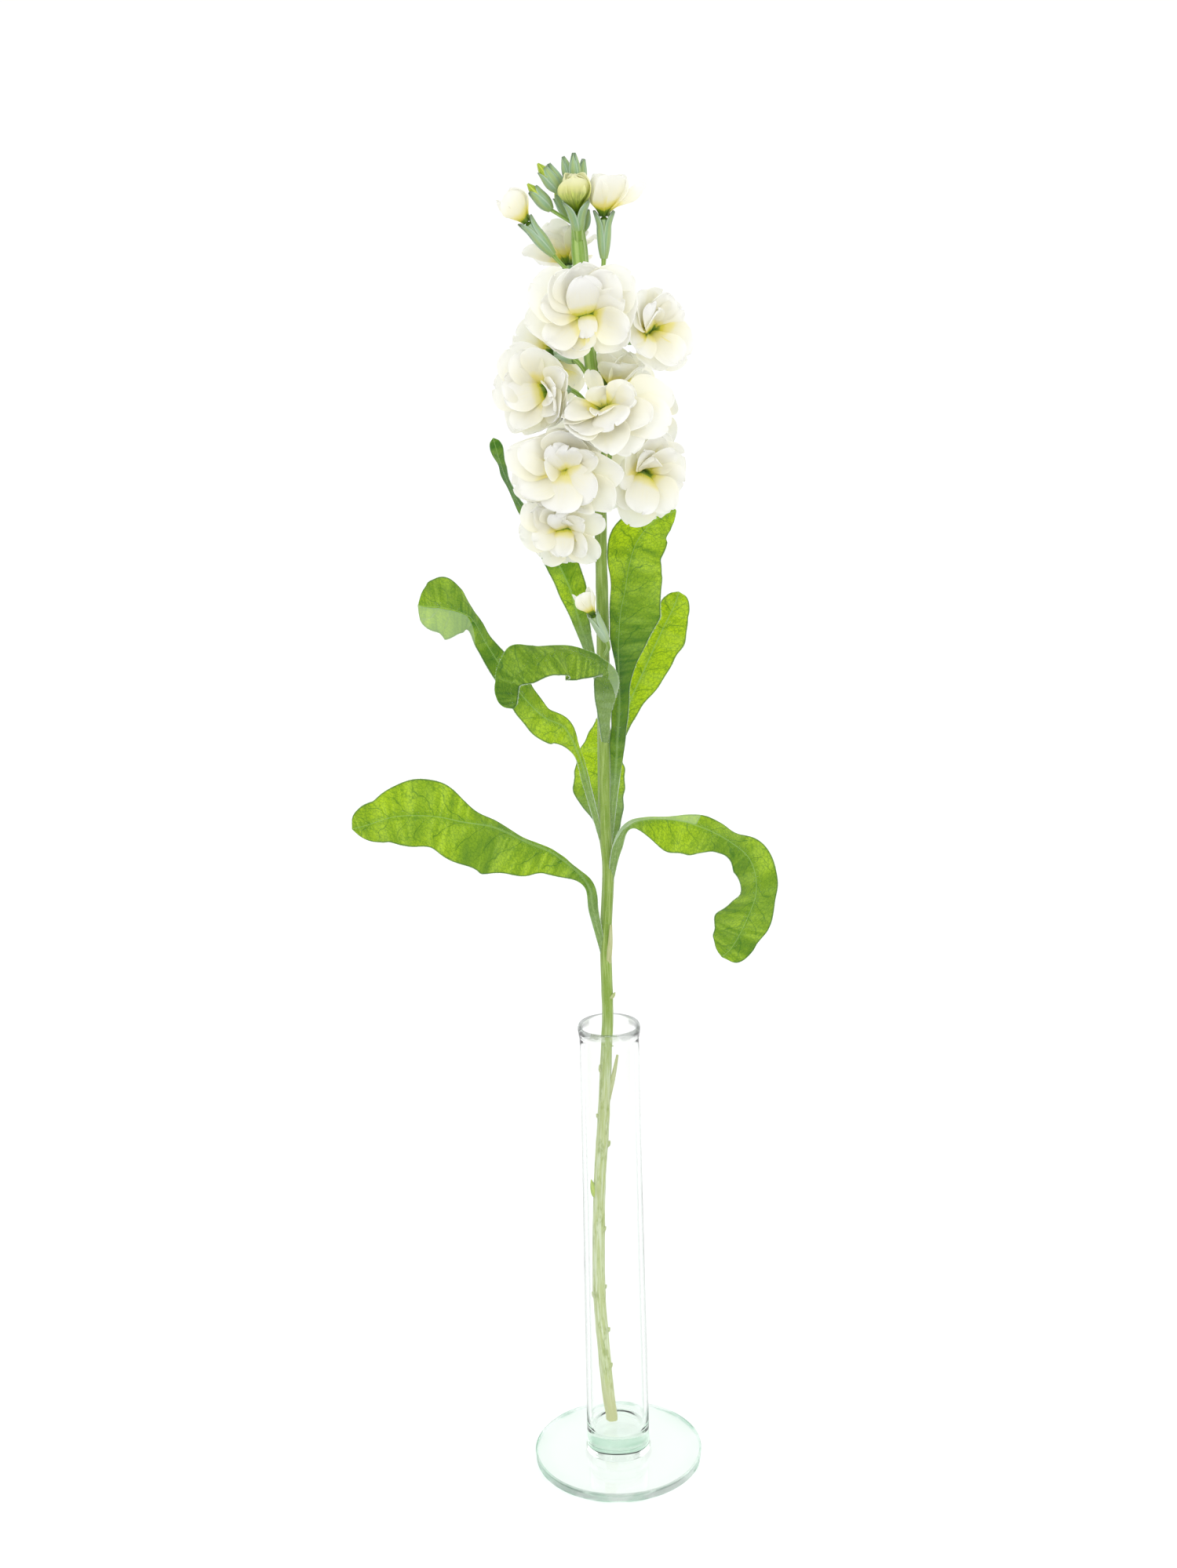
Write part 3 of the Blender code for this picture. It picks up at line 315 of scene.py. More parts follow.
class Shape:
    """Gathers grids of faces into one mesh.  Each point keeps a vector and a number for its material."""

    def __init__(self):
        self.points = []
        self.quads = []
        self.spikes = []
        self.lie = []
        self.tone = []
        self.count = 0

    def add(self, points, quads, lie, tone):
        """Add points with their faces, their place on the blade or bar, and their tone."""
        self.points.append(points)
        self.quads.append(quads + self.count)
        self.lie.append(lie)
        self.tone.append(np.broadcast_to(tone, len(points)))
        self.count += len(points)

    def sheet(self, middle, thickness, lie, tone_front, tone_back, relief_front=0.0, relief_back=0.0):
        """A thin closed blade round a grid of points."""
        size = middle.shape[:2]
        normal = unit(facings(middle))
        half = np.broadcast_to(thickness, size)[..., None] / 2
        front = middle + normal * (half + np.broadcast_to(relief_front, size)[..., None])
        back = middle - normal * (half + np.broadcast_to(relief_back, size)[..., None])
        under = size[0] * size[1]
        index = np.arange(under).reshape(size)
        quads = np.stack([index[:-1, :-1], index[1:, :-1], index[1:, 1:], index[:-1, 1:]], -1).reshape(-1, 4)
        loop = np.concatenate([index[0, :-1], index[:-1, -1], index[-1, :0:-1], index[:0:-1, 0]])
        after = np.roll(loop, -1)
        rim = np.stack([loop, after, after + under, loop + under], -1)
        tones = [np.broadcast_to(tone, size).ravel() for tone in (tone_front, tone_back)]
        self.add(np.concatenate([front.reshape(-1, 3), back.reshape(-1, 3)]),
                 np.concatenate([quads, quads[:, ::-1] + under, rim]),
                 np.concatenate([lie.reshape(-1, 3)] * 2), np.concatenate(tones))

    def bar(self, path, radii, around, tone, kind, ridge=None):
        """A closed round bar along a path, with its surface moved out by ridge(angle, share)."""
        path = np.asarray(path, float)
        radii = np.asarray(radii, float)
        ahead = unit(np.gradient(path, axis=0))
        side = unit(np.cross(ahead[0], [0.0, 1.0, 0.05]))
        sides = []
        for way in ahead:
            side = unit(side - way * np.dot(side, way))
            sides.append(side)
        sides = np.array(sides)
        other = np.cross(ahead, sides)
        size = (len(path), around)
        angle = np.arange(around) / around * 2 * math.pi
        share = evenly(len(path))
        swell = 1.0 if ridge is None else 1.0 + ridge(angle[None, :], share[:, None])
        reach = radii[:, None] * swell * np.ones(size)
        points = (path[:, None] + sides[:, None] * (np.cos(angle)[None, :] * reach)[..., None]
                  + other[:, None] * (np.sin(angle)[None, :] * reach)[..., None])
        run = np.r_[0.0, np.cumsum(np.linalg.norm(np.diff(path, axis=0), axis=1))]
        lie = marks(angle / (2 * math.pi), run[:, None], kind)
        tone = np.broadcast_to(np.asarray(tone, float), len(path))[:, None] * np.ones(size)
        self.add(points.reshape(-1, 3), tube_faces(*size), lie.reshape(-1, 3), tone.ravel())

    def down(self, roots, ways, length, radius, seed):
        """Short fine hairs standing on the given roots."""
        draw = np.random.default_rng(seed)
        ways = unit(unit(ways) + draw.normal(0.0, 0.35, ways.shape))
        side = unit(np.cross(ways, draw.normal(0.0, 1.0, ways.shape)))
        other = np.cross(ways, side)
        lengths = (length * draw.uniform(0.5, 1.2, len(roots)))[:, None]
        ring = [roots - ways * 0.08 + (side * math.cos(a) + other * math.sin(a)) * radius
                for a in (0.0, 2.09, 4.19)]
        points = np.stack([*ring, roots + ways * lengths], 1).reshape(-1, 3)
        first = np.arange(len(roots))[:, None] * 4 + self.count
        corners = ([0, 1, 3], [1, 2, 3], [2, 0, 3], [0, 2, 1])
        self.spikes.append(np.concatenate([first + corner for corner in corners]))
        self.points.append(points)
        self.lie.append(np.broadcast_to(np.array([0.0, 0.0, HAIR]), points.shape))
        self.tone.append(np.full(len(points), HAIR))
        self.count += len(points)

    def make(self, name, material):
        """The gathered faces as one smooth object."""
        points = np.concatenate(self.points) * MM
        quads = np.concatenate(self.quads).astype(np.int32)
        spikes = np.concatenate([np.zeros((0, 3), np.int32), *self.spikes]).astype(np.int32)
        mesh = bpy.data.meshes.new(name)
        mesh.vertices.add(len(points))
        mesh.vertices.foreach_set("co", points.astype(np.float32).ravel())
        mesh.loops.add(quads.size + spikes.size)
        mesh.loops.foreach_set("vertex_index", np.concatenate([quads.ravel(), spikes.ravel()]))
        mesh.polygons.add(len(quads) + len(spikes))
        mesh.polygons.foreach_set("loop_start", np.concatenate([
            np.arange(0, quads.size, 4, dtype=np.int32),
            quads.size + np.arange(0, spikes.size, 3, dtype=np.int32)]))
        mesh.attributes.new("lie", "FLOAT_VECTOR", "POINT").data.foreach_set(
            "vector", np.concatenate(self.lie).astype(np.float32).ravel())
        mesh.attributes.new("tone", "FLOAT", "POINT").data.foreach_set(
            "value", np.concatenate(self.tone).astype(np.float32))
        mesh.update(calc_edges=True)
        mesh.validate()
        mesh.shade_smooth()
        mesh.set_sharp_from_angle(angle=math.radians(60))
        mesh.materials.append(material)
        return place_in_scene(name, mesh)


def settle(piece, slot, *nodes):
    """Let a piece stand for its nodes: hang it on the root and hide their solids. The slot is not used."""
    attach(piece, "root")
    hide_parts(*nodes)


class Tree:
    """Short calls for building the nodes of a material or a world."""

    def __init__(self, owner, output="ShaderNodeOutputMaterial"):
        owner.use_nodes = True
        self.owner = owner
        self.nodes = owner.node_tree.nodes
        self.links = owner.node_tree.links
        self.nodes.clear()
        self.output = self.nodes.new(output)

    def put(self, socket, value):
        """Link an output, or set a constant, on an input.  Three numbers are a display colour."""
        if isinstance(value, bpy.types.NodeSocket):
            self.links.new(value, socket)
        elif isinstance(value, tuple) and len(value) == 3:
            socket.default_value = colour(*value)
        else:
            socket.default_value = value

    def node(self, kind, inputs=(), **values):
        """A new node with its properties and its first inputs, or its named ones, set."""
        made = self.nodes.new("ShaderNode" + kind)
        for key, value in values.items():
            setattr(made, key, value)
        if isinstance(inputs, dict):
            for name, value in inputs.items():
                self.put(made.inputs[name], value)
        else:
            for socket, value in zip(made.inputs, inputs):
                self.put(socket, value)
        return made

    def math(self, operation, first, second=0.0, third=0.0, clamp=False):
        """One step of arithmetic."""
        return self.node("Math", (first, second, third), operation=operation, use_clamp=clamp).outputs[0]

    def times(self, first, second):
        """The product of two values."""
        return self.math("MULTIPLY", first, second)

    def fade(self, value, low, high, start=0.0, end=1.0):
        """A soft step of a value from low to high."""
        inputs = (value, low, high, start, end)
        return self.node("MapRange", inputs, interpolation_type="SMOOTHSTEP").outputs[0]

    def mix(self, share, first, second):
        """Two colours mixed."""
        made = self.node("Mix", (share,), data_type="RGBA")
        self.put(made.inputs[6], first)
        self.put(made.inputs[7], second)
        return made.outputs[2]

    def layers(self, tint, coats):
        """Coats of colour laid over a tint one after the other, each by its share."""
        for share, coat in coats:
            tint = self.mix(share, tint, coat)
        return tint

    def ramp(self, value, stops):
        """A run of colours."""
        made = self.node("ValToRGB", (value,))
        made.color_ramp.interpolation = "EASE"
        while len(made.color_ramp.elements) < len(stops):
            made.color_ramp.elements.new(0.5)
        for element, (place, tint) in zip(made.color_ramp.elements, stops):
            element.position = place
            element.color = colour(*tint)
        return made.outputs[0]

    def split(self, vector):
        """A vector's three numbers."""
        return self.node("SeparateXYZ", (vector,)).outputs

    def lie(self):
        """The three numbers kept at each point."""
        return self.split(self.node("Attribute", attribute_name="lie").outputs["Vector"])

    def tone(self):
        """The single number kept at each point."""
        return self.node("Attribute", attribute_name="tone").outputs["Fac"]

    def vector(self, x, y, z=0.0):
        """Three numbers as one vector."""
        return self.node("CombineXYZ", (x, y, z)).outputs[0]

    def reach(self, x, y):
        """How long the vector of two numbers is."""
        return self.node("VectorMath", (self.vector(x, y),), operation="LENGTH").outputs["Value"]

    def noise(self, where, scale, detail=3.0, rough=0.5):
        """Cloudy noise."""
        inputs = {"Vector": where, "Scale": scale, "Detail": detail, "Roughness": rough}
        return self.node("TexNoise", inputs).outputs["Fac"]

    def grain(self, first, second, third, detail=3.0, rough=0.5):
        """Noise drawn out along a blade or bar.  The first two are each a number and its scale."""
        return self.noise(self.vector(self.times(*first), self.times(*second), third), 1.0, detail, rough)

    def place(self):
        """Where the point is on the object, in metres."""
        return self.node("TexCoord").outputs["Object"]

    def space(self):
        """Where the point is on the object, in millimetres."""
        scaled = self.node("VectorMath", (self.place(),), operation="SCALE")
        scaled.inputs["Scale"].default_value = 1.0 / MM
        return scaled.outputs[0]

    def bump(self, height, strength, distance):
        """Fine relief."""
        inputs = {"Height": height, "Strength": strength, "Distance": distance * MM}
        return self.node("Bump", inputs).outputs[0]

    def show(self, shader, socket="Surface"):
        """Send a shader to the output."""
        self.links.new(shader.outputs[0], self.output.inputs[socket])

    def blend(self, share, first, second):
        """Show two shaders mixed by the share of the second."""
        self.show(self.node("MixShader", (share, first.outputs[0], second.outputs[0])))

    def thin(self, tint, through_tint, share, roughness, normal, sheen):
        """A matt surface that lets part of the light behind it through."""
        skin = self.node("BsdfPrincipled", {
            "Base Color": tint, "Roughness": roughness, "Normal": normal, "Specular IOR Level": 0.35,
            "Sheen Weight": sheen, "Sheen Roughness": 0.5})
        glow = self.node("BsdfTranslucent", {"Color": through_tint, "Normal": normal})
        self.blend(share, skin, glow)
        return self.owner


def petal_material(name, young=0.0):
    """Cream petal: green throat, yellow claw, near white limb, with faint fanned veins; the deep green at the
    throat is partly the claws' own green and partly painted shade of the gaps between the petals there.
    """
    tree = Tree(bpy.data.materials.new(name))
    along, across, chance = tree.lie()
    space = tree.space()
    cloud = tree.noise(space, 0.16, 3.0, 0.55)
    drift = tree.math("MULTIPLY_ADD", cloud, 0.24, -0.12)
    shift = tree.math("MULTIPLY_ADD", chance, 0.10, -0.05)
    place = tree.math("ADD", tree.math("ADD", along, drift), shift)
    # the deep green at the foot of the run is partly the claws' own green and partly painted shade where the
    # gaps between the petals' feet show
    limb = tree.ramp(place, [
        (0.00, (0.30, 0.48, 0.04)), (0.11, (0.47, 0.63, 0.07)), (0.18, (0.92, 0.90, 0.30)),
        (0.28, (0.99, 0.962, 0.67)), (0.45, (0.997, 0.99, 0.93)), (1.00, (0.999, 0.999, 0.990))])
    fan = tree.grain((along, 2.2), (across, 15.0), chance, 2.0, 0.6)
    warm = tree.times(tree.fade(fan, 0.50, 0.72), tree.fade(along, 1.0, 0.25))
    tint = tree.mix(tree.times(warm, 0.30), limb, (0.99, 0.965, 0.78))
    if young:
        green = tree.ramp(place, [
            (0.0, (0.46, 0.62, 0.08)), (0.26, (0.66, 0.78, 0.14)), (0.48, (0.90, 0.94, 0.44)),
            (0.72, (0.97, 0.97, 0.66)), (1.0, (0.98, 0.98, 0.82))])
        vein = tree.times(tree.fade(fan, 0.46, 0.60), tree.fade(along, 0.85, 0.35))
        green = tree.mix(tree.times(vein, 0.65), green, (0.42, 0.56, 0.05))
        tint = tree.mix(young, tint, green)
    height = tree.math("ADD", tree.times(fan, 0.7), tree.noise(space, 1.6, 2.0))
    normal = tree.bump(height, 0.30, 0.10)
    through_tint = tree.mix(tree.fade(along, 0.12, 0.50, 0.20, 0.55), tint, (1.0, 0.998, 0.98))
    share = tree.math("MULTIPLY_ADD", tree.tone(), -0.26, 0.50 if young else 0.58)
    return tree.thin(tint, through_tint, share, tree.fade(cloud, 0.3, 0.7, 0.50, 0.66), normal, 0.08)


def leaf_material():
    """Backlit leaf: pale midrib and side veins, a fine net, a downy pale edge and a grey-green underside,
    with painted shade along it and in its folds and a painted silvery sheen.
    """
    tree = Tree(bpy.data.materials.new("leaf"))
    along, across, half = tree.lie()
    tone = tree.tone()
    hair = tree.math("GREATER_THAN", tone, HAIR - 1.0)
    back = tree.math("GREATER_THAN", tone, UNDERSIDE - 0.5)
    shade = tree.math("SUBTRACT", tone, tree.times(back, UNDERSIDE))
    out = tree.times(across, half)
    reach = tree.math("ABSOLUTE", out)
    space = tree.space()
    wander = tree.noise(space, 0.11, 2.0)
    blotch = tree.noise(space, 0.05, 3.0)
    # midrib, side veins, the fine net between them, and the edge
    rib_width = tree.math("MAXIMUM", tree.math("MULTIPLY_ADD", along, -0.004, 0.68), 0.22)
    rib = tree.fade(tree.math("DIVIDE", reach, rib_width), 1.0, 0.35)
    rib_side = tree.math("SUBTRACT", tree.fade(reach, 2.2, 0.6), rib, clamp=True)
    slant = tree.math("SUBTRACT", along, tree.times(reach, 0.85))
    slant = tree.math("ADD", slant, tree.times(wander, 14.0))
    lane = tree.math("FRACT", tree.math("DIVIDE", slant, 9.5))
    lane = tree.times(tree.math("ABSOLUTE", tree.math("SUBTRACT", lane, 0.5)), 9.5)
    wide = tree.math("ABSOLUTE", across)
    side = tree.times(tree.fade(lane, 0.42, 0.08), tree.fade(wide, 0.95, 0.60))
    bent = tree.times(tree.noise(space, 0.5, 3.0, 0.6), 3.0)
    cells = tree.vector(tree.math("ADD", along, bent), tree.math("ADD", out, bent), wander)
    net = tree.node("TexVoronoi", feature="DISTANCE_TO_EDGE")
    tree.put(net.inputs["Vector"], cells)
    net.inputs["Scale"].default_value = 0.75
    net = tree.fade(net.outputs["Distance"], 0.12, 0.0)
    inside = tree.math("SUBTRACT", half, tree.times(wide, half))
    edge = tree.times(tree.fade(inside, 0.75, 0.25), tree.fade(half, 1.5, 4.0))
    lip = tree.fade(inside, 0.22, 0.06)
    # down, painted shade of folds and darker patches, and the painted light that comes through
    speck = tree.noise(space, 0.9, 3.0, 0.6)
    fuzz = tree.grain((along, 0.6), (out, 3.0), half, 3.0, 0.7)
    down = tree.fade(fuzz, 0.52, 0.78)
    fold_shade = tree.grain((along, 0.11), (out, 0.05), half, 2.0)
    painted_patch_shade = tree.math("ADD", tree.math("MULTIPLY_ADD", blotch, 0.9, -0.45),
                       tree.math("MULTIPLY_ADD", fold_shade, 1.4, -0.7))
    # painted light: the painted shade along the leaf, with the painted shade of folds and patches
    lit = tree.math("ADD", shade, painted_patch_shade, clamp=True)
    stalk = tree.times(tree.fade(along, 40.0, 18.0), 0.85)
    stalk_tint = tree.mix(tree.fade(fuzz, 0.40, 0.62), (0.50, 0.63, 0.30), (0.62, 0.74, 0.42))
    # painted silvery sheen on the folds, partly the pale down
    silver_down_and_sheen = tree.times(tree.fade(fold_shade, 0.42, 0.66, 0.06, 0.34), tree.math("MULTIPLY_ADD", down, 0.5, 0.5))

    deep = tree.mix(blotch, (0.27, 0.46, 0.20), (0.38, 0.56, 0.24))
    bright = tree.mix(blotch, (0.52, 0.68, 0.09), (0.64, 0.77, 0.14))
    flesh = tree.layers(tree.mix(lit, deep, bright), [
        (tree.fade(speck, 0.42, 0.70, 0.0, 0.22), (0.24, 0.47, 0.10)),
        (tree.times(net, 0.35), (0.18, 0.40, 0.10)),
        (tree.times(side, 0.45), (0.24, 0.46, 0.12)),
        (tree.times(rib_side, 0.14), (0.22, 0.44, 0.12)),
        (tree.times(rib, 0.75), (0.70, 0.82, 0.50)),
        (stalk, stalk_tint),
        (silver_down_and_sheen, (0.76, 0.86, 0.78)),
        (tree.times(edge, 0.60), (0.28, 0.44, 0.32)),
        (tree.times(lip, 0.80), (0.84, 0.90, 0.82))])
    veins = tree.times(tree.math("MAXIMUM", side, rib), 0.8)
    pale = tree.layers(flesh, [(0.70, (0.80, 0.88, 0.77)), (veins, (0.90, 0.94, 0.84))])
    tint = tree.layers(flesh, [(back, pale), (hair, (0.93, 0.96, 0.92))])
    glow = tree.layers(tree.mix(lit, (0.42, 0.60, 0.20), (0.90, 0.96, 0.13)), [
        (tree.fade(speck, 0.42, 0.70, 0.0, 0.35), (0.56, 0.70, 0.10)),
        (tree.times(net, 0.50), (0.36, 0.60, 0.08)),
        (tree.times(side, 0.55), (0.32, 0.56, 0.08)),
        (tree.times(rib_side, 0.22), (0.42, 0.64, 0.14)),
        (tree.times(rib, 0.70), (0.66, 0.80, 0.42)),
        (stalk, stalk_tint),
        (tree.times(edge, 0.7), (0.28, 0.46, 0.28)),
        (tree.times(lip, 0.8), (0.86, 0.92, 0.80)),
        (tree.times(back, 0.48), (0.88, 0.94, 0.78)),
        (hair, (0.95, 0.97, 0.93))])
    height = tree.math("ADD", tree.times(side, -0.6), tree.times(net, -0.20))
    height = tree.math("ADD", height, tree.times(speck, 0.9))
    return tree.thin(tint, glow, tree.math("MULTIPLY_ADD", stalk, -0.50, 0.72),
                     tree.math("MULTIPLY_ADD", wander, 0.20, 0.42), tree.bump(height, 0.55, 0.25), 0.45)


def stem_material():
    """Stem, stalks, calyces and buds: ridged and downy, yellower at the cut end, blue-grey on the buds."""
    tree = Tree(bpy.data.materials.new("stem"))
    around, run, kind = tree.lie()
    tone = tree.tone()
    space = tree.space()
    grain = tree.grain((around, 18.0), (run, 0.06), kind, 3.0, 0.6)
    blotch = tree.noise(space, 0.10, 3.0)
    stain = tree.grain((around, 5.0), (run, 0.09), kind, 4.0, 0.65)
    groove = tree.math("COSINE", tree.times(around, 6.2832 * 5.0))
    bark = tree.layers(tree.mix(blotch, (0.49, 0.62, 0.22), (0.60, 0.71, 0.30)), [
        (tree.fade(grain, 0.42, 0.68, 0.0, 0.75), (0.74, 0.83, 0.50)),
        (tree.fade(grain, 0.40, 0.26, 0.0, 0.5), (0.36, 0.52, 0.16))])
    ripe = tree.layers(tree.mix(blotch, (0.72, 0.76, 0.46), (0.82, 0.85, 0.60)), [
        (tree.fade(grain, 0.42, 0.66, 0.0, 0.8), (0.92, 0.94, 0.84)),
        (tree.fade(stain, 0.50, 0.64, 0.0, 0.75), (0.60, 0.66, 0.30))])
    green_top = tree.layers(tree.mix(tree.fade(groove, -0.2, 0.9), (0.56, 0.71, 0.30), (0.74, 0.85, 0.50)), [
        (tree.fade(grain, 0.45, 0.75, 0.0, 0.5), (0.80, 0.89, 0.60))])
    base = tree.layers(bark, [
        (tree.fade(tone, 0.0, -1.0), green_top),
        (tree.fade(tone, 0.2, 1.0), ripe),
        (tree.fade(tone, 1.0, 2.0), tree.mix(blotch, (0.78, 0.77, 0.50), (0.86, 0.85, 0.66)))])
    # on a sepal, around runs from edge to edge and tone from foot to point
    sepal = tree.math("GREATER_THAN", kind, SEPAL - 0.5)
    beside = tree.math("ABSOLUTE", around)
    keel = tree.times(sepal, tree.fade(beside, 0.45, 0.05))
    margin = tree.times(sepal, tree.fade(beside, 0.70, 0.95))
    foot = tree.times(sepal, tree.fade(tone, 0.30, 0.0))
    point = tree.times(sepal, tree.fade(tone, 0.86, 1.0))
    cool = tree.layers(tree.mix(tree.fade(grain, 0.38, 0.66), (0.56, 0.73, 0.58), (0.77, 0.86, 0.60)), [
        (tree.fade(blotch, 0.4, 0.7, 0.0, 0.6), (0.72, 0.83, 0.74)),
        (tree.times(keel, 0.55), (0.74, 0.82, 0.46)),
        (tree.times(margin, 0.65), (0.84, 0.91, 0.84)),
        (tree.times(foot, 0.6), (0.66, 0.78, 0.42)),
        (tree.times(point, 0.6), (0.42, 0.50, 0.42)),
        (tree.fade(tone, FRESH - 0.5, FRESH),
         tree.mix(tree.fade(grain, 0.4, 0.7), (0.62, 0.74, 0.12), (0.88, 0.93, 0.40)))])
    down = tree.fade(tree.noise(space, 1.7, 3.0, 0.7), 0.55, 0.80)
    tint = tree.layers(base, [
        (tree.fade(kind, 0.5, 1.5), cool),
        (tree.times(down, 0.25), (0.80, 0.87, 0.74)),
        (tree.fade(kind, 3.5, 4.5), (0.84, 0.91, 0.80))])
    height = tree.math("ADD", grain, tree.times(tree.noise(space, 1.3, 3.0), 0.5))
    return tree.thin(tint, tree.mix(0.5, tint, (0.70, 0.85, 0.35)), 0.22,
                     tree.math("MULTIPLY_ADD", blotch, 0.2, 0.45), tree.bump(height, 0.5, 0.30), 0.30)


def glass_material():
    """Clear glass with a breath of green, which lets lamp light through, and painted shade along the tube's
    edges where it is seen edge on.
    """
    tree = Tree(bpy.data.materials.new("glass"))
    space = tree.space()
    x, y, z = tree.split(space)
    # painted shade: the tube's walls darken towards their edges, where the glass is seen edge on
    slope = tree.node("LayerWeight", {"Blend": 0.5}).outputs["Facing"]
    painted_shade_height = tree.times(tree.fade(z, 15.5, 19.0), tree.fade(z, 192.0, 120.0, 0.45, 0.9))
    edge = tree.times(tree.fade(slope, 0.55, 0.90), painted_shade_height)
    skin = tree.node("BsdfPrincipled", {
        "Roughness": 0.015, "IOR": 1.50, "Transmission Weight": 1.0,
        "Base Color": tree.mix(edge, (1.0, 1.0, 1.0), (0.54, 0.66, 0.60)),
        "Normal": tree.bump(tree.noise(space, 0.05, 2.0), 0.20, 0.30)})
    # lamps and bounced light pass straight through; so does part of the view at lip, foot edge and underside
    path = tree.node("LightPath").outputs
    shadow = tree.math("MAXIMUM", path["Is Shadow Ray"], path["Is Diffuse Ray"])
    aside = tree.reach(x, y)
    under = tree.times(tree.fade(z, 1.4, 0.9), tree.fade(aside, 28.0, 31.0))
    foot_edge = tree.fade(aside, 34.9, 35.4)
    brim = tree.math("MAXIMUM", tree.fade(z, 196.0, 198.2, 0.0, 0.50),
                     tree.times(tree.math("MAXIMUM", under, foot_edge), 0.6))
    patch = tree.fade(tree.noise(space, 0.09, 2.0), 0.42, 0.60)
    rim_tint = tree.mix(patch, (0.80, 0.90, 0.85), (0.97, 0.995, 0.985))
    clear = tree.node("BsdfTransparent", {"Color": tree.mix(foot_edge, (0.985, 0.993, 0.988), rim_tint)})
    tree.blend(tree.math("MAXIMUM", shadow, brim), skin, clear)
    depth = tree.node("VolumeAbsorption", {"Color": (0.22, 0.62, 0.34, 1.0), "Density": 10.0})
    tree.show(depth, "Volume")
    return tree.owner


def make_vase(material):
    """The glass turned finely, with soft corners at lip, plug and foot."""
    inner_low = BASE_RADIUS - WALL - 0.2
    inner_high = NECK_RADIUS - WALL
    height = VASE_HEIGHT
    section = [
        (0.01, FLOOR_HEIGHT), (inner_low - 3.0, FLOOR_HEIGHT), (inner_low - 0.9, FLOOR_HEIGHT + 0.8),
        (inner_low, FLOOR_HEIGHT + 4.0), (inner_low - 0.2, 50.0), (inner_low - 0.5, 90.0),
        ((inner_low - 0.5 + inner_high) / 2, 140.0), (inner_high, height - 14.0),
        (inner_high + 0.3, height - 5.0), (inner_high + 1.0, height - 1.2),
        (RIM_RADIUS - 0.65, height), (RIM_RADIUS - 0.08, height - 0.7),
        (RIM_RADIUS, height - 1.9), (NECK_RADIUS + 0.25, height - 5.0), (NECK_RADIUS, height - 10.0),
        (NECK_RADIUS + 0.2, 140.0), (BASE_RADIUS - 0.4, 80.0), (BASE_RADIUS, 22.0),
        (BASE_RADIUS + 0.2, FOOT_THICKNESS + 4.0), (BASE_RADIUS + 0.7, FOOT_THICKNESS + 1.5),
        (BASE_RADIUS + 2.6, FOOT_THICKNESS + 0.5), (FOOT_RADIUS - 1.0, FOOT_THICKNESS),
        (FOOT_RADIUS - 0.25, FOOT_THICKNESS - 0.5), (FOOT_RADIUS, FOOT_THICKNESS / 2),
        (FOOT_RADIUS - 0.12, 0.5), (FOOT_RADIUS - 0.6, 0.08), (FOOT_RADIUS - 6.0, 0.35), (12.0, 0.8),
        (0.01, 0.9)]
    fine, _ = through([(radius, 0.0, level) for radius, level in section], VASE_GRID[0])
    radius = np.maximum(fine[:, :1], 0.01)
    level = np.clip(fine[:, 2:], 0.0, height)
    angle = np.arange(VASE_GRID[1]) / VASE_GRID[1] * 2 * math.pi
    points = marks(radius * np.cos(angle), radius * np.sin(angle), level).reshape(-1, 3)
    shape = Shape()
    shape.add(points, tube_faces(*VASE_GRID, inside_out=True), np.zeros(points.shape), 0.0)
    settle(shape.make("vase_glass", material), "glass", "vase")


# Of a calyx: its width and how far (degrees) each sepal wraps round it, from its foot up; how far the
# sepals reach past it; how far their tips stand off
CALYX_LOOK = ([0.50, 0.80, 0.98, 1.0, 0.98, 0.94], [58, 56, 54, 50, 40, 8], 0.8, 0.8)
CALYX_LOOKS = {
    "opening_bud_left": ([0.42, 0.74, 0.94, 1.0, 0.96, 0.90, 0.92], [58, 56, 52, 46, 38, 26, 5], 4.2, 1.3),
    "opening_bud_top": ([0.75, 0.98, 1.10, 1.30, 1.60, 1.90, 2.15], [58, 56, 50, 42, 34, 22, 4], 7.5, 1.0),
    "opening_bud_right": ([0.42, 0.72, 0.88, 0.98, 1.0, 0.98, 1.0], [58, 56, 52, 46, 36, 22, 5], 4.6, 2.6),
    "opening_bud_small": ([0.45, 0.66, 0.78, 0.84, 0.86, 0.84, 0.84], [58, 56, 52, 46, 38, 26, 5], 3.4, 0.8),
}
# How thick a finished stalk is beside STALK_RADIUS, and the ones that differ
SLIM_STALK = 0.85
SLIM_STALKS = {"opening_bud_top": 1.7, "opening_bud_left": 0.70, "opening_bud_right": 0.75}
# Of a closed bud: its width and how far its sepals stand out, from its foot up; how much of it they cover;
# how far their tips stand off; the tone of what shows between them
CLOSED_BUD = ([0.30, 0.62, 0.84, 0.86, 0.72, 0.50, 0.28, 0.08], [0.34, 0.72, 0.90, 0.90, 0.74, 0.48, 0.18],
              1.0, 0.0, 0.5)
# Ripening buds, by their place in BUDS, show their yellow-green petals between the sepals
RIPENING = (4, 5, 6)
RIPENING_BUD = ([0.30, 0.62, 0.84, 0.88, 0.84, 0.70, 0.44, 0.12], [0.34, 0.72, 0.90, 0.92, 0.86, 0.74, 0.60],
                0.80, 0.5, FRESH)
# Fine hairs on the stem, and the share of its height where they begin
STEM_HAIRS = 7000
HAIRS_FROM = 0.36


def bloom_frame(bloom):
    """Throat, axis and the two directions across a bloom."""
    throat = np.array(bloom["throat"], float)
    axis = unit(bloom["facing"])
    right = np.cross(UP, axis)
    if axis[2] > 0.88:
        right = np.array([1.0, 0.0, 0.0]) - axis * axis[0]
    right = unit(right)
    return throat, axis, right, np.cross(axis, right)


def soft(values, count):
    """Values spread evenly and smoothed."""
    fine = np.interp(evenly(count), evenly(len(values)), values)
    for _ in range(3):
        fine[1:-1] = (fine[:-2] + 2 * fine[1:-1] + fine[2:]) / 4
    return fine


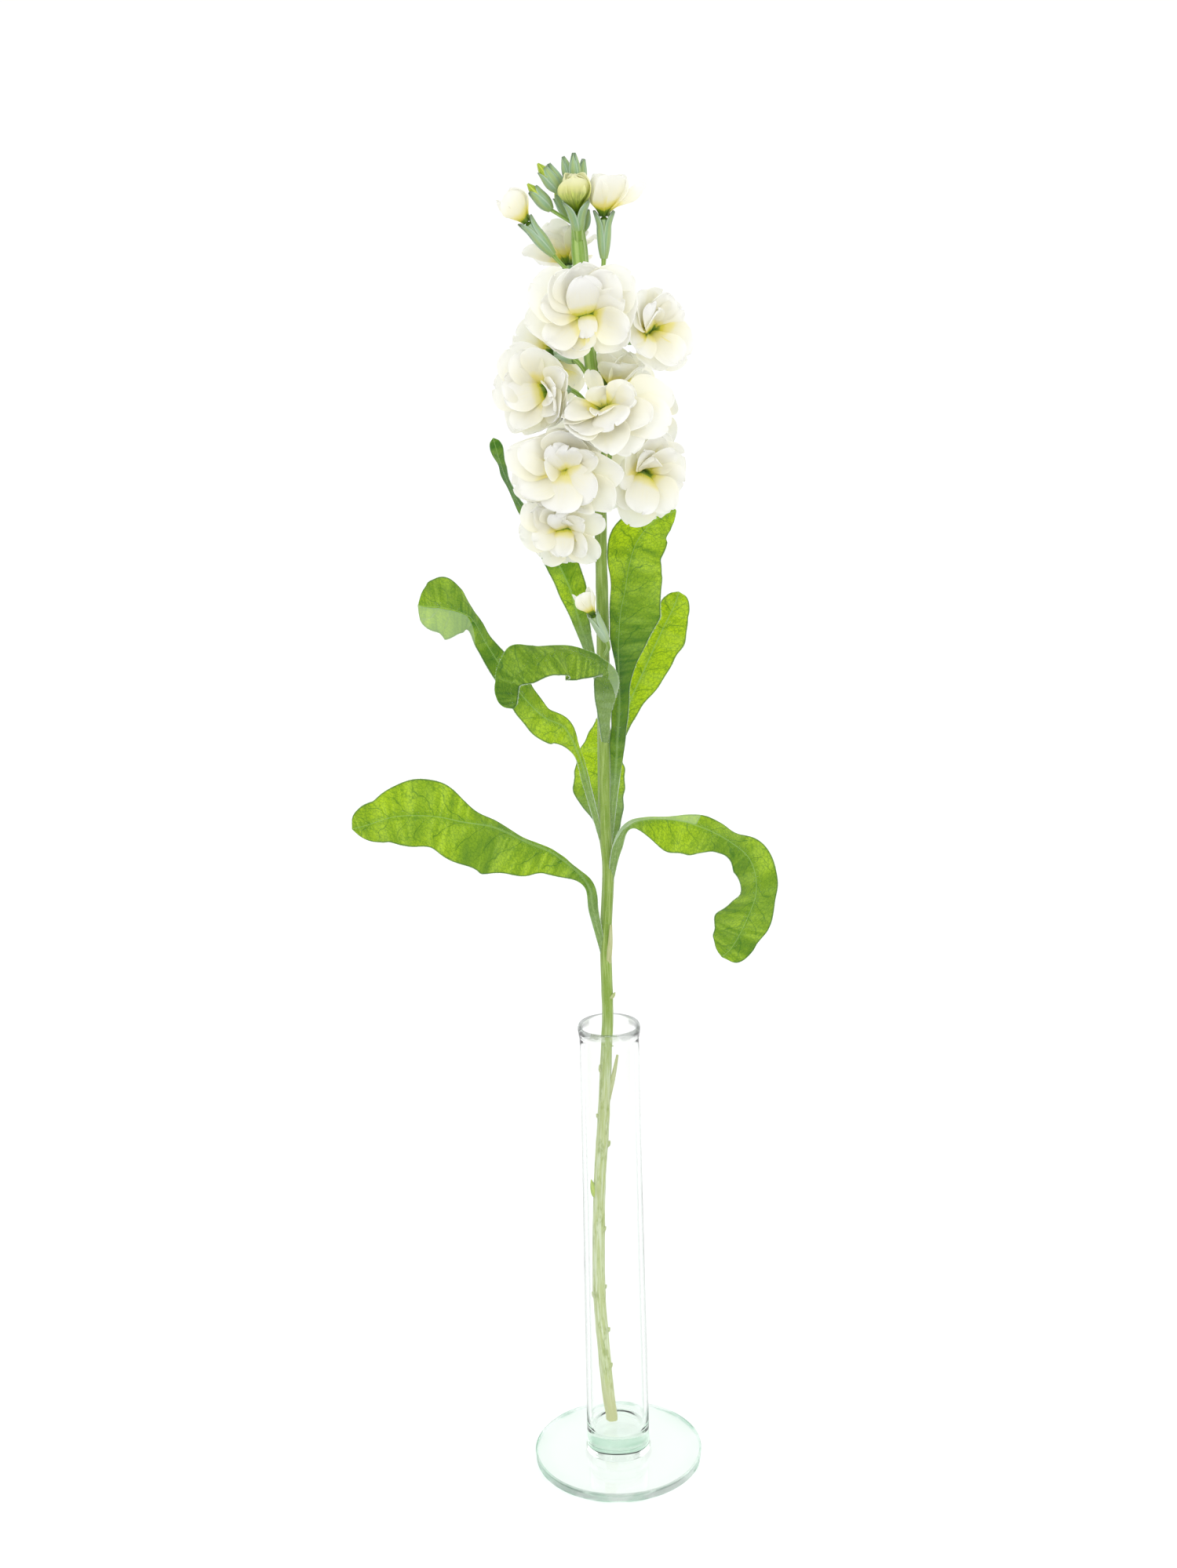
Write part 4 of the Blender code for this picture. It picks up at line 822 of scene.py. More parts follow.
def lapped_sepal(shape, base, axis, right, turn, length, radii, spans, flare=0.0, kind=SEPAL):
    """One sepal wrapped round a calyx or a bud, its edge lapping over the next."""
    rows, columns = SEPAL_GRID
    up = np.cross(axis, right)
    share = evenly(rows)
    across = np.linspace(-1.0, 1.0, columns)
    reach = soft(radii, rows) + flare * np.maximum(0.0, (share - 0.66) / 0.34) ** 1.6
    angle = math.radians(turn) + np.radians(soft(spans, rows))[:, None] * across
    out = np.cos(angle)[..., None] * right + np.sin(angle)[..., None] * up
    stand = reach[:, None] + 0.16 * across + 0.10 * (1.0 - across ** 2)
    grid = base + axis * (length * share)[:, None, None] + out * stand[..., None]
    share = share[:, None]
    shape.sheet(grid, SEPAL_THICKNESS, marks(across, length * share, kind), share, share)


def stalk(shape, name, bloom):
    """A bloom's stalk and its calyx of four lapped sepals."""
    throat, axis, right, _ = bloom_frame(bloom)
    deep = CALYX_LENGTHS.get(name, CALYX_LENGTH)
    top = throat - axis * (PETAL_CORE + GAP)
    base = top - axis * deep
    start = stem_at(bloom["fork"])
    span = np.linalg.norm(base - start)
    rise = start + UP * 0.45 * span
    meet = base - axis * 0.35 * span
    t = evenly(18)[:, None]
    path = start * (1 - t) ** 3 + rise * 3 * t * (1 - t) ** 2 + meet * 3 * t * t * (1 - t) + base * t ** 3
    t = t[:, 0]
    slim = SLIM_STALKS.get(name, SLIM_STALK)
    thick = STALK_RADIUS * (slim + 0.15 * np.exp(-((1 - t) / 0.06) ** 2) + 0.6 * np.exp(-(t / 0.12) ** 2))
    shape.bar(path, thick, 12, YOUNG, STALK, lambda angle, share: 0.06 * np.cos(3 * angle))
    share = evenly(26)
    sepal, core = (DOWNY_SEPAL, DOWNY_SEPAL) if name == "opening_bud_small" else (SEPAL, BUD_CORE)
    radii, spans, longer, flare = CALYX_LOOKS.get(name, CALYX_LOOK)
    path = base + (top + axis * 1.6 - base) * share[:, None]
    width = np.interp(share * deep / (deep + longer), share, soft(radii, 26))
    shape.bar(path, CALYX_RADIUS * 0.86 * width, 20, 0.0, core)
    for quarter in range(4):
        lapped_sepal(shape, base, axis, right, 45 + 90 * quarter, deep + longer,
                     CALYX_RADIUS * np.array(radii), spans, flare, sepal)


def bud(shape, base, tip, radius, number):
    """A closed bud: a core, and four sepals lapped round it."""
    length = np.linalg.norm(tip - base)
    axis = (tip - base) / length
    right = unit(np.cross([0.2, 1.0, 0.1], axis))
    profile, radii, cover, flare, tone = RIPENING_BUD if number in RIPENING else CLOSED_BUD
    shape.bar(base + (tip - base) * evenly(24)[:, None], radius * soft(profile, 24), 20, tone, BUD_CORE,
              lambda angle, share: 0.05 * np.cos(4 * angle))
    for quarter in range(4):
        lapped_sepal(shape, base, axis, right, 30 + 90 * quarter + 25 * number, length * cover,
                     radius * np.array(radii), [60, 60, 56, 52, 48, 38, 8], flare)


def make_stem(material):
    """Everything green that grew as one with the stem."""
    shape = Shape()
    rows = [(*point, radius) for point, radius in zip(STEM_POINTS, STEM_RADII)]
    fine, _ = through(rows, 300)
    fine[:3, 2] = np.maximum(fine[:3, 2], FLOOR_HEIGHT + GAP)
    level = fine[:, 2]
    in_glass = np.clip((230.0 - level) / 70.0, 0.0, 1.0) + np.clip((45.0 - level) / 30.0, 0.0, 1.0)
    joints = [height for height, _, _ in STUBS] + [bloom["fork"] for bloom in BLOOMS.values()]
    node = sum(np.exp(-((level - height) / 3.0) ** 2) for height in joints)
    radii = fine[:, 3] * (1.0 + 0.05 * np.minimum(node, 1.5))

    def ridge(angle, share):
        twist = share * 2.5
        deep = 1.0 + 1.2 * ease((share - 0.82) / 0.1)
        return (deep * 0.045 * np.cos(5 * angle + twist) + 0.025 * np.cos(11 * angle - 2 * twist)
                + 0.015 * np.sin(60 * share + 3 * angle))

    light_top = np.clip((level - 400.0) / 60.0, 0.0, 1.0)
    shape.bar(fine[:, :3], radii, 40, np.minimum(CUT, in_glass) - light_top, STEM, ridge)
    for name, bloom in BLOOMS.items():
        stalk(shape, name, bloom)
    for number, (base, tip, radius) in enumerate(BUDS):
        base = np.array(base, float)
        start = stem_at(min(base[2] - 4.0, STEM_POINTS[-1][2] - 1.0))
        path = start + (base - start) * evenly(8)[:, None]
        shape.bar(path, np.full(8, BUD_STALK_RADIUS), 10, YOUNG, BUD_STALK)
        bud(shape, base, np.array(tip, float), radius, number)
    draw = random.Random(12)
    for height, turn, reach in STUBS:
        leafy = reach > 2.2
        tall = draw.uniform(1.6, 3.6) + (5.0 if leafy else 0.0)
        lean = draw.uniform(0.5, 0.95)
        t = evenly(9)[:, None]
        path = (stem_at(height) + level_way(turn) * (1.5 + (0.9 + reach) * lean * t ** 0.6)
                + UP * (tall * (t - 0.45)))
        widths = [1.1, 1.6, 1.3, 0.8, 0.2] if leafy else [1.1, 1.25, 0.9, 0.5, 0.14]
        tone, kind = (FRESH, BUD_CORE) if leafy else (SCAR, STEM)
        shape.bar(path, soft(widths, 9), 10, tone, kind, lambda angle, share: 0.25 * np.cos(2 * angle + turn))
    for low, high, out, turn in TORN_STRIPS:
        base = stem_at(low)
        top = stem_at(high)
        way = level_way(turn)
        rows = [(*(base + way * 1.5), 1.0), (*((base + top) / 2 + way * (2.6 + out / 3)), 0.8),
                (*(top + way * (2.4 + out)), 0.4)]
        path, _ = through(rows, 14)
        shape.bar(path[:, :3], path[:, 3], 10, TORN, STEM, lambda angle, share: 0.25 * np.cos(2 * angle))
    pick = np.random.default_rng(4)
    rows_at = pick.uniform(HAIRS_FROM, 0.999, STEM_HAIRS) * (len(fine) - 1)
    low = np.minimum(rows_at.astype(int), len(fine) - 2)
    part = (rows_at - low)[:, None]
    centre = fine[low, :3] * (1 - part) + fine[low + 1, :3] * part
    angle = pick.uniform(0.0, 2 * math.pi, STEM_HAIRS)
    way = np.stack([np.cos(angle), np.sin(angle), np.zeros(STEM_HAIRS)], 1)
    shape.down(centre + way * fine[low, 3:4], way, 0.42, 0.03, 5)
    settle(shape.make("green_stem", material), "stem", "stem")


# Painted shade along each leaf, from its stalk to its tip: how brightly light is painted as coming through,
# low for shaded dark green, high for backlit yellow-green
PAINTED_LEAF_SHADE = {
    "leaf_low_left": [0.3, 0.3, 0.45, 0.85, 0.55, 0.75, 0.85, 0.85],
    "leaf_low_right": [0.4, 0.6, 1.0, 0.9, 0.6, 0.45, 0.6, 0.65],
    "leaf_mid_left": [0.5, 0.8, 1.1, 1.0, 0.5, 0.35, 0.5, 0.6],
    "leaf_front": [0.6, 0.7, 0.75, 0.6, 0.65, 0.7, 0.6, 0.5],
    "leaf_right_upper": [0.6, 0.55, 0.6, 0.35, 0.2, 0.45, 0.8, 0.9, 0.95],
    "leaf_right_behind": [0.7, 1.0, 1.2, 1.2, 1.2, 1.0],
    "leaf_behind_mid": [0.8, 1.1, 1.3, 1.3, 1.1],
    "leaf_behind_upper": [0.6, 0.8, 0.8, 0.7, 0.3, 0.15, 0.1, 0.1],
}
# Stretch of the way along where the left (-1) or right (1) half shows its downy underside to the front
PALE_TURN = {
    "leaf_mid_left": (0.80, 1.0, -1), "leaf_low_right": (0.17, 0.44, -1), "leaf_front": (0.29, 0.40, 1)}
# A leaf folded along its midrib shows one half only, so the midrib runs along that half's edge
FOLDED = ("leaf_front",)


def make_leaf(name, material):
    """A leaf's blade, finely waved and veined, thickest along its midrib."""
    leaf = LEAVES[name]
    lengthwise, crosswise = LEAF_GRID
    rows, length = through(leaf["stations"], lengthwise)
    middle = rows[:, :3]
    ahead = unit(np.gradient(middle, axis=0))
    side = unit(np.cross(ahead, [0.0, 1.0, 0.0]))
    back = np.cross(side, ahead)
    back = back * np.where(back[:, 1:2] < 0.0, -1.0, 1.0)
    along = evenly(lengthwise)
    across = np.linspace(-1, 1, crosswise)
    across = np.sign(across) * np.abs(across) ** 0.85
    left = across[None, :] < 0
    half = np.where(left, rows[:, 3:4], rows[:, 5:6])
    turn = int(0.90 * lengthwise)
    a = along[:, None]
    round_end = np.sqrt(np.clip(1.0 - ((a - along[turn]) / (1.0 - along[turn])) ** 2, 0.0, 1.0))
    half = np.where(a > along[turn], np.maximum(half, half[turn:turn + 1] * round_end * 0.96), half)
    half = np.maximum(0.8, half) * (0.2 + 0.8 * np.sqrt(np.clip((1.0 - a) / 0.012, 0.0, 1.0)))
    draw = random.Random(name)
    phases = [draw.uniform(0.0, 6.28) for _ in range(6)]
    margin = 1.0 + 0.035 * np.sin(23 * a + phases[0]) * np.where(left, 1.0, -0.8)
    margin = margin + 0.025 * np.sin(51 * a + phases[1])
    half = np.where(half > 3.0, half * margin, half)
    lean = np.radians(np.where(left, rows[:, 4:5], rows[:, 6:7]))
    hand = np.where(left, 1.0, -1.0)
    share = np.abs(across)[None, :]
    way = side[:, None] * (hand * np.cos(lean))[..., None] + back[:, None] * np.sin(lean)[..., None]
    lift = back[:, None] * np.cos(lean)[..., None] - side[:, None] * (hand * np.sin(lean))[..., None]
    wide = np.minimum(1.0, half / 8.0)
    ripple = leaf["wave"] * wide * share ** 2
    ripple = ripple * np.sin(2 * math.pi * leaf["waves"] * a + leaf["phase"] + np.where(left, 1.3, 0.0))
    ripple = ripple + 0.45 * wide * share ** 3 * np.sin(34 * a + phases[2] + np.where(left, 2.0, 0.0))
    ripple = ripple + 0.30 * wide * share ** 2 * np.sin(61 * a + phases[3])
    out = half * share
    slant = a * length - 0.85 * out
    puff = 0.16 * wide * np.sin(2 * math.pi * slant / 8.5 + phases[4]) * np.minimum(1.0, share * 3.0)
    crease = -0.25 * wide * np.exp(-(out / 1.1) ** 2)
    grid = middle[:, None] + way * out[..., None] - lift * (-(ripple + puff + crease))[..., None]
    rib = np.exp(-(out / 0.9) ** 2) * (0.95 * (1.0 - a) + 0.25)
    thickness = 0.48 - 0.26 * share ** 3 * np.ones((lengthwise, 1))
    if name in FOLDED:
        lie = marks(a * length, (1.0 - across) / 2, 2 * half)
    else:
        lie = marks(a * length, across, half)
    # the painted shade of the leaf along its length
    shade = np.interp(along, evenly(len(PAINTED_LEAF_SHADE[name])), PAINTED_LEAF_SHADE[name])[:, None] * np.ones(half.shape)
    normal = facings(grid)
    front_is_near = np.mean(np.sum(normal * back[:, None], axis=-1)) < 0
    near = shade
    if name in PALE_TURN:
        start, end, half_shown = PALE_TURN[name]
        turned = (across * half_shown > 0) & (a + 0.11 * (share - 0.5) > start) & (a <= end)
        near = np.where(turned, shade + UNDERSIDE, shade)
    far = shade + (0.0 if name in FOLDED else UNDERSIDE)
    shape = Shape()
    if front_is_near:
        shape.sheet(grid, thickness, lie, near, far, 0.0, rib * 0.8)
    else:
        shape.sheet(grid, thickness, lie, far, near, rib * 0.8, 0.0)
    pick = np.random.default_rng(len(name))
    for column, inward in ((0, 1), (crosswise - 1, crosswise - 2)):
        spots = pick.uniform(0.0, lengthwise - 1.001, int(length * 5.0))
        low = spots.astype(int)
        part = (spots - low)[:, None]
        roots = grid[low, column] * (1 - part) + grid[low + 1, column] * part
        shape.down(roots, roots - grid[low, inward], 0.65, 0.055, column + 1)
    spots = pick.uniform(0.0, 1.0, (int(length * 6), 2))
    rows_at = (spots[:, 0] * (lengthwise - 1)).astype(int)
    columns_at = (crosswise // 2 + (spots[:, 1] - 0.5) * 6).astype(int)
    facing = unit(normal[rows_at, columns_at])
    facing = facing * np.where(pick.uniform(0, 1, len(rows_at)) < 0.5, 1.0, -1.0)[:, None]
    shape.down(grid[rows_at, columns_at] + facing * 0.25, facing, 0.4, 0.035, 9)
    settle(shape.make("leaf_" + name[5:] + "_blade", material), "leaf", name)


def bloom_middle(bloom):
    """Centre and reach of the room that a bloom fills."""
    throat, axis, _, _ = bloom_frame(bloom)
    reach = sum(petal[2] for petal in bloom["petals"]) / len(bloom["petals"])
    return throat + axis * 4.0, reach


def pressed_clear(name, spots):
    """Bend a bloom's points back from its neighbours, so crowded blooms press together and never cross."""
    centre, reach = bloom_middle(BLOOMS[name])
    for other_name, other in BLOOMS.items():
        if other_name == name:
            continue
        other_centre, other_reach = bloom_middle(other)
        away = other_centre - centre
        distance = np.linalg.norm(away)
        limit = distance * reach / (reach + other_reach) - 0.2
        away = away / distance
        depth = (spots - centre) @ away
        free = 0.70 * limit
        room = limit - free
        over = np.maximum(0.0, depth - free)
        spots = spots - away * (over - room * (1.0 - np.exp(-over / room)))[..., None]
    return spots


# Petals keep this far from the middle of the main stem
STEM_ROOM = 3.4


def kept_off_stem(spots):
    """Push points out of the main stem."""
    points = np.asarray(STEM_POINTS, float)
    centre = np.stack([np.interp(spots[..., 2], points[:, 2], points[:, k]) for k in range(2)], -1)
    off = spots[..., :2] - centre
    distance = np.linalg.norm(off, axis=-1, keepdims=True)
    inside = spots[..., 2:3] < STEM_POINTS[-1][2] + 2.0
    moved = centre + off / np.maximum(1e-6, distance) * np.maximum(distance, STEM_ROOM)
    return np.concatenate([np.where(inside, moved, spots[..., :2]), spots[..., 2:3]], -1)


# The side petal of the right bud turns its face to the front: by how much, and how wide it stays
TWISTED = {(352, 62, 18, 8, 20): (62.0, 0.55)}


def petal(shape, name, bloom, spec, seed, size, tone=0.0):
    """One petal: a narrow claw, a broad cupped limb, a ruffled edge and a shallow notch."""
    throat, axis, right, up = bloom_frame(bloom)
    turn, opening, length, width, cup = spec
    length = length * PETAL_LONGER
    width = width * PETAL_WIDER
    draw = random.Random(seed)
    bend = -bloom["closing"] if "closing" in bloom else draw.uniform(0.0, 25.0)
    ripple = draw.uniform(0.6, 1.4)
    phase = draw.uniform(0.0, 6.28)
    chance = draw.random()
    phases = [draw.uniform(0.0, 6.28) for _ in range(5)]
    outward = right * math.cos(math.radians(turn)) + up * math.sin(math.radians(turn))
    across_way = np.cross(axis, outward)
    lengthwise, crosswise = size
    along = 1.038 * np.sin(evenly(lengthwise) ** 0.9 * math.pi / 2)
    across = np.sin(np.linspace(-1, 1, crosswise) * math.pi / 2)
    steps = np.linspace(0.0, 1.04, 120)
    angle = np.radians(opening * (0.5 + 0.5 * ease(steps / 0.3)) + bend * np.maximum(0.0, steps - 0.4) / 0.6)
    gain = np.diff(steps, prepend=0.0) * length
    out = np.interp(along, steps, np.cumsum(np.sin(angle) * gain))
    high = np.interp(along, steps, np.cumsum(np.cos(angle) * gain))
    angle = np.interp(along, steps, angle)
    start = throat + (axis * 1.7 - outward * 0.4 if cup < 0 else outward * 1.0 + axis * 0.3)
    spot = start + out[:, None] * outward + high[:, None] * axis
    inward = np.sin(angle)[:, None] * axis - np.cos(angle)[:, None] * outward
    sideways = np.broadcast_to(across_way, inward.shape)
    if spec in TWISTED:
        turned = np.radians(TWISTED[spec][0]) * ease(along / 0.5)[:, None]
        sideways, inward = (np.cos(turned) * sideways + np.sin(turned) * inward,
                            np.cos(turned) * inward - np.sin(turned) * sideways)
    claw = 0.62 if cup < 0 else 0.20
    share = np.where(along < 0.60, claw + (1.0 - claw) * ease(along / 0.60),
                     np.clip(1.0 - (np.maximum(0.0, along - 0.60) / 0.44) ** 2.2, 0.0, 1.0) ** 0.46)
    if spec in TWISTED:
        width = width * TWISTED[spec][1]
        share = share * (0.35 + 0.65 * ease((along - 0.35) / 0.35))
    a = along[:, None]
    c = across[None, :]
    share = share[:, None]
    half = np.maximum(0.5, width / 2 * share)
    roll = math.radians(cup) * c
    radius = half / math.radians(cup)
    calm = 0.3 if "closing" in bloom else 1.0
    lobe = 1.0 + 0.07 * calm * np.sin(6.0 * a + phases[0]) * np.sign(c) * c ** 2
    wave = calm * ripple * np.sin(phase + 4.2 * a + 2.2 * c) * share * a
    rim = np.maximum(np.abs(c) ** 3, np.clip((a - 0.6) / 0.43, 0.0, 1.0) ** 2) * ease(a / 0.45)
    for height, lengthways, crossways, start in (
            (0.60, 6.0, 3.0, phases[1]), (0.42, 3.0, -6.0, phases[2]), (0.13, 5.0, 11.0, phases[4])):
        wave = wave + height * calm * rim * np.sin(lengthways * a + crossways * c + start)
    wave = wave - 0.22 * calm * np.exp(-(c / 0.16) ** 2) * share * ease(a / 0.5)
    wave = wave + 0.05 * np.sin(24.0 * c + phases[3]) * share * ease(a / 0.3)
    lift = radius * (1 - np.cos(roll)) + wave + SHINGLE * half * c
    grid = (spot[:, None] + sideways[:, None] * (radius * np.sin(roll) * lobe)[..., None]
            + inward[:, None] * lift[..., None])
    notch = 0.035 * calm * length * np.exp(-(c / 0.35) ** 2) * np.clip((a - 0.75) / 0.28, 0.0, 1.0) ** 2
    forward = np.sin(angle)[:, None] * outward + np.cos(angle)[:, None] * axis
    grid = grid - forward[:, None] * notch[..., None]
    grid = kept_off_stem(pressed_clear(name, grid))
    thickness = 0.42 - 0.20 * rim + 0.25 * np.exp(-(a / 0.25) ** 2)
    pale = 0.04 if cup < 0 else 0.0
    tone = LIT_FROM_INSIDE.get(name, CURLED_TONE) if cup < 0 else tone
    shape.sheet(grid, thickness, marks(a + pale, c, chance), tone, tone)


# The inner petals of the double blooms that are seen from the front, as in BLOOMS.  A negative cup curls
# the sides back.
INNER = {
    "bloom_front_top": [
        (92, 42, 17, 12, -16), (52, 60, 18, 14, 30), (128, 60, 18, 14, 30), (92, 66, 18, 15, 25),
        (20, 62, 15, 11, 25), (165, 64, 16, 11, 25), (215, 70, 17, 12, 18), (335, 70, 17, 12, 18),
        (268, 70, 9, 9, -20), (238, 84, 19, 15, 15)],
    "bloom_right_top": [
        (115, 42, 12, 9, -18), (62, 54, 14, 11, 25), (25, 62, 14, 11, 20), (150, 60, 13, 10, 25),
        (225, 66, 13, 11, 20), (300, 70, 15, 12, 15)],
    "bloom_left_top": [
        (8, 40, 16, 8, 30), (345, 30, 14, 8, 35), (28, 52, 16, 9, 30), (318, 62, 18, 13, 25),
        (300, 84, 19, 14, 20), (165, 52, 15, 12, 25), (120, 60, 16, 12, 25), (240, 66, 17, 13, 20),
        (195, 56, 15, 11, -25), (322, 86, 21, 15, 15)],
    "bloom_front_mid": [
        (30, 60, 12, 11, 20), (355, 50, 13, 10, 30), (205, 66, 17, 12, 20), (290, 62, 17, 13, -18),
        (240, 72, 18, 14, 15), (115, 80, 20, 6.5, 35), (70, 56, 7, 11, 20), (330, 74, 19, 14, 15),
        (198, 84, 23, 15, 20), (232, 86, 24, 16, 15), (275, 86, 23, 16, 15)],
    "bloom_left_low": [
        (108, 44, 13, 9, -20), (66, 44, 13, 9, -20), (24, 52, 15, 9, 28), (262, 62, 19, 16, -22),
        (318, 62, 17, 13, -18), (150, 62, 19, 13, 22), (205, 68, 18, 13, 20), (105, 74, 17, 18, 20),
        (55, 74, 17, 15, 20), (250, 86, 22, 16, 15), (84, 82, 23, 17, 15), (60, 82, 22, 16, 15)],
    "bloom_right_low": [
        (245, 50, 18, 12, -25), (300, 52, 17, 12, 24), (110, 46, 12, 9, 30), (40, 52, 14, 10, 28),
        (345, 66, 15, 12, 20), (180, 62, 14, 11, 22), (80, 66, 15, 12, 20)],
    "bloom_bottom": [
        (95, 42, 11, 8, -18), (22, 46, 12, 8, 25), (200, 54, 12, 9, 25), (268, 58, 11, 10, -20),
        (320, 62, 13, 9, 20), (150, 64, 13, 10, 20), (60, 74, 13, 12, 20), (120, 74, 13, 12, 20)],
    "bloom_back_top": [
        (215, 24, 13, 9, 30), (285, 26, 13, 9, 30), (340, 40, 13, 10, 25), (90, 50, 13, 11, 20),
        (155, 46, 13, 10, 25)],
    "bloom_middle": [
        (250, 12, 18, 14, -30), (306, 14, 18, 14, -30)],
    "opening_bud_top": [(75, 12, 13, 10, 50), (210, 14, 13, 11, 50), (330, 12, 13, 10, 50)],
}


# Petals that hang down behind the others, where the flower head is densest
HANGING = {
    "bloom_back_left": [(250, 100, 31, 19, 15), (282, 98, 29, 18, 15)],
    "bloom_back_low": [(62, 98, 28, 19, 15), (85, 96, 26, 18, 15)],
}
# Rings of inner petals in the other blooms: how many, how far they open, length and width beside the bloom's
# reach, and cup
INNER_RINGS = [(4, 66, 0.86, 0.72, 22), (4, 46, 0.68, 0.60, 30), (2, 26, 0.52, 0.48, 45)]


def inner_petals(name, bloom):
    """The petals that fill a double bloom: placed one by one in front, and by a seeded rule at the back."""
    if name in INNER:
        return INNER[name]
    draw = random.Random(name + " inner")
    reach = bloom_middle(bloom)[1]
    specs = []
    for count, opening, size, wide, cup in INNER_RINGS:
        first = draw.uniform(0, 360)
        for step in range(count):
            specs.append((first + 360 * step / count + draw.uniform(-14, 14), opening + draw.uniform(-8, 8),
                          reach * size * draw.uniform(0.88, 1.08), reach * wide * draw.uniform(0.9, 1.1),
                          cup + draw.uniform(-6, 10)))
    return specs + HANGING.get(name, [])


def make_bloom(name, material):
    """A bloom with all its petals on a small throat."""
    bloom = BLOOMS[name]
    throat, axis, _, _ = bloom_frame(bloom)
    shape = Shape()
    opened = name.startswith("bloom")
    for index, spec in enumerate(bloom["petals"]):
        petal(shape, name, bloom, spec, name + str(index), PETAL_GRID)
    if opened or name in INNER:
        for index, spec in enumerate(inner_petals(name, bloom)):
            petal(shape, name, bloom, spec, name + " inner " + str(index), INNER_PETAL_GRID, INNER_TONE)
    path = throat + axis * np.linspace(-PETAL_CORE, PETAL_CORE * 0.05, 9)[:, None]
    width = 0.60 * PETAL_CORE * np.sqrt(np.clip(1.0 - np.linspace(-1.0, 0.9, 9) ** 2, 0.02, 1.0))
    shape.bar(path, width, 12, 0.0, STALK)
    shape.lie[-1][:, 0] = 0.10
    shape.lie[-1][:, 1] = 0.0
    slot = "petal_young" if name == "opening_bud_top" else "petal"
    settle(shape.make(name + "_petals", material), slot, name)


FLOOR_HALF = 14.0                # metres
BACK_LIGHT = 1.04
ROOM_LIGHT = 0.70
FRONT_LIGHT = 1.02
# Soft square lamps: place, spot they point at, size and power
LAMPS = {
    "key": ((-0.7, -0.9, 1.3), (0.0, 0.0, 0.35), 0.9, 2.0),
    "fill": ((0.9, -0.8, 0.7), (0.0, 0.0, 0.35), 0.8, 1.8),
    "low_left": ((-0.62, -0.85, 0.34), (0.0, 0.0, 0.42), 0.5, 1.0),
    "low_right": ((0.62, -0.85, 0.34), (0.0, 0.0, 0.42), 0.5, 1.0),
    "back_left": ((-1.0, 0.75, 0.55), (0.0, 0.0, 0.36), 0.8, 2.8),
    "back_right": ((1.0, 0.75, 0.55), (0.0, 0.0, 0.36), 0.8, 2.8),
}
# The photograph's viewpoint, solved from the ellipses of the vase's rim and foot
CAMERA_PLACE = (-0.00593, -0.7688, 0.5012)
CAMERA_DOWN = 14.53
CAMERA_ROLL = -1.42
CAMERA_LENS = 45.8
CAMERA_FILM = 36.0


def make_floor():
    """A plain white table top that glows faintly, with painted pools of light that make it brighter in front
    of the vase and far from it.
    """
    mesh = bpy.data.meshes.new("floor")
    corners = [(x * FLOOR_HALF, y * FLOOR_HALF, 0) for x, y in ((-1, -1), (1, -1), (1, 1), (-1, 1))]
    mesh.from_pydata(corners, [], [(0, 1, 2, 3)])
    tree = Tree(bpy.data.materials.new("floor"))
    x, y, _ = tree.split(tree.place())
    # painted pools of light: the floor's colour and glow are brighter in front of the vase and far from it
    wide = tree.math("MAXIMUM", tree.math("MULTIPLY_ADD", y, 0.34, 0.30), 0.22)
    aside = tree.math("DIVIDE", tree.math("ABSOLUTE", x), wide)
    painted_light_pool = tree.times(tree.fade(aside, 1.5, 1.0), tree.fade(y, -0.30, -0.11))
    facing = tree.fade(tree.math("DIVIDE", y, tree.reach(x, y)), -0.20, -0.60)
    painted_light_pool = tree.math("MAXIMUM", painted_light_pool, tree.times(tree.fade(y, -0.75, -2.2), facing))
    glow = tree.times(tree.math("MULTIPLY_ADD", painted_light_pool, 0.6, 0.4), tree.fade(y, 0.0, 1.4, 0.37, 0.46))
    tree.show(tree.node("BsdfPrincipled", {
        "Base Color": tree.mix(painted_light_pool, (0.46, 0.46, 0.47, 1.0), (0.62, 0.622, 0.625, 1.0)), "Roughness": 0.6,
        "Specular IOR Level": 0.2, "Emission Color": (1.0, 1.0, 1.0, 1.0), "Emission Strength": glow}))
    mesh.materials.append(tree.owner)
    place_in_scene("floor", mesh)


